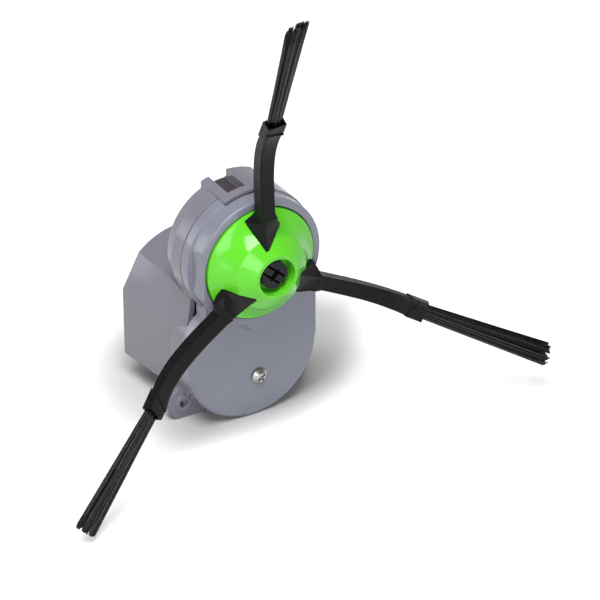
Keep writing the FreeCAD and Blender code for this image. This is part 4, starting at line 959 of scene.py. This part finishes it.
class SIDEBRUSH_OT_motor(bpy.types.Operator):
    """Finish the motor's can, magnets, rotor and contacts"""

    bl_idname = "side_brush.motor"
    bl_label = "Motor"

    def execute(self, context):
        colours = context.scene.side_brush_colours
        dress(["motor_can"], worked_metal("can_zinc", colours.can, 0.34, (1, 0.1, 1)))
        dress(["motor_end_cap"], moulded_plastic("end_cap_plastic", colours.bracket, 0.5))
        dress(["field_magnets"], moulded_plastic("magnet_ferrite", colours.ferrite, 0.6))
        dress(["rotor_core"], stacked_steel("core_plates", colours.steel))
        dress(["rotor_windings"], wound_wire("winding_copper", colours.copper))
        dress(["commutator"], worked_metal("commutator_copper", colours.copper, 0.25, (1, 8, 1)))
        dress(["contact_blades", "motor_leaf_contacts"],
              worked_metal("contact_brass", colours.brass, 0.26))
        return {"FINISHED"}


class SIDEBRUSH_OT_stage(bpy.types.Operator):
    """Set the camera, the softboxes, the surround and the floor"""

    bl_idname = "side_brush.stage"
    bl_label = "Studio"

    def execute(self, context):
        studio = context.scene.side_brush_studio
        add_camera(studio)
        for name, power, place, size in SOFTBOXES:
            add_softbox(name, place, size, getattr(studio, power))
        set_world(studio)
        add_floor(context.scene.side_brush_colours.floor, studio.painted_floor_glow)
        context.scene.view_settings.view_transform = "Standard"
        return {"FINISHED"}


OPERATORS = (
    SIDEBRUSH_OT_shells,
    SIDEBRUSH_OT_hub,
    SIDEBRUSH_OT_arms,
    SIDEBRUSH_OT_bristles,
    SIDEBRUSH_OT_spindle,
    SIDEBRUSH_OT_fasteners,
    SIDEBRUSH_OT_gears,
    SIDEBRUSH_OT_motor,
    SIDEBRUSH_OT_stage,
)


class SIDEBRUSH_PT_panel(bpy.types.Panel):
    """Lists the module's operators and settings"""

    bl_idname = "SIDEBRUSH_PT_panel"
    bl_label = "Side brush"
    bl_space_type = "VIEW_3D"
    bl_region_type = "UI"
    bl_category = "Side brush"

    def draw(self, context):
        for operator in OPERATORS:
            self.layout.operator(operator.bl_idname)
        for group in (context.scene.side_brush_sizes, context.scene.side_brush_colours,
                      context.scene.side_brush_studio):
            box = self.layout.box()
            for name in group.bl_rna.properties.keys():
                if name not in {"rna_type", "name"}:
                    box.prop(group, name)


CLASSES = (SideBrushSizes, SideBrushColours, SideBrushStudio, *OPERATORS, SIDEBRUSH_PT_panel)


def register():
    """Add the classes, and the settings to the scene."""
    for item in CLASSES:
        bpy.utils.register_class(item)
    bpy.types.Scene.side_brush_sizes = PointerProperty(type=SideBrushSizes)
    bpy.types.Scene.side_brush_colours = PointerProperty(type=SideBrushColours)
    bpy.types.Scene.side_brush_studio = PointerProperty(type=SideBrushStudio)


def unregister():
    """Take the settings and the classes away again."""
    del bpy.types.Scene.side_brush_studio
    del bpy.types.Scene.side_brush_colours
    del bpy.types.Scene.side_brush_sizes
    for item in reversed(CLASSES):
        bpy.utils.unregister_class(item)


def main():
    """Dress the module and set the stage."""
    register()
    for operator in OPERATORS:
        group, name = operator.bl_idname.split(".")
        getattr(getattr(bpy.ops, group), name)()


if __name__ == "__main__":
    main()
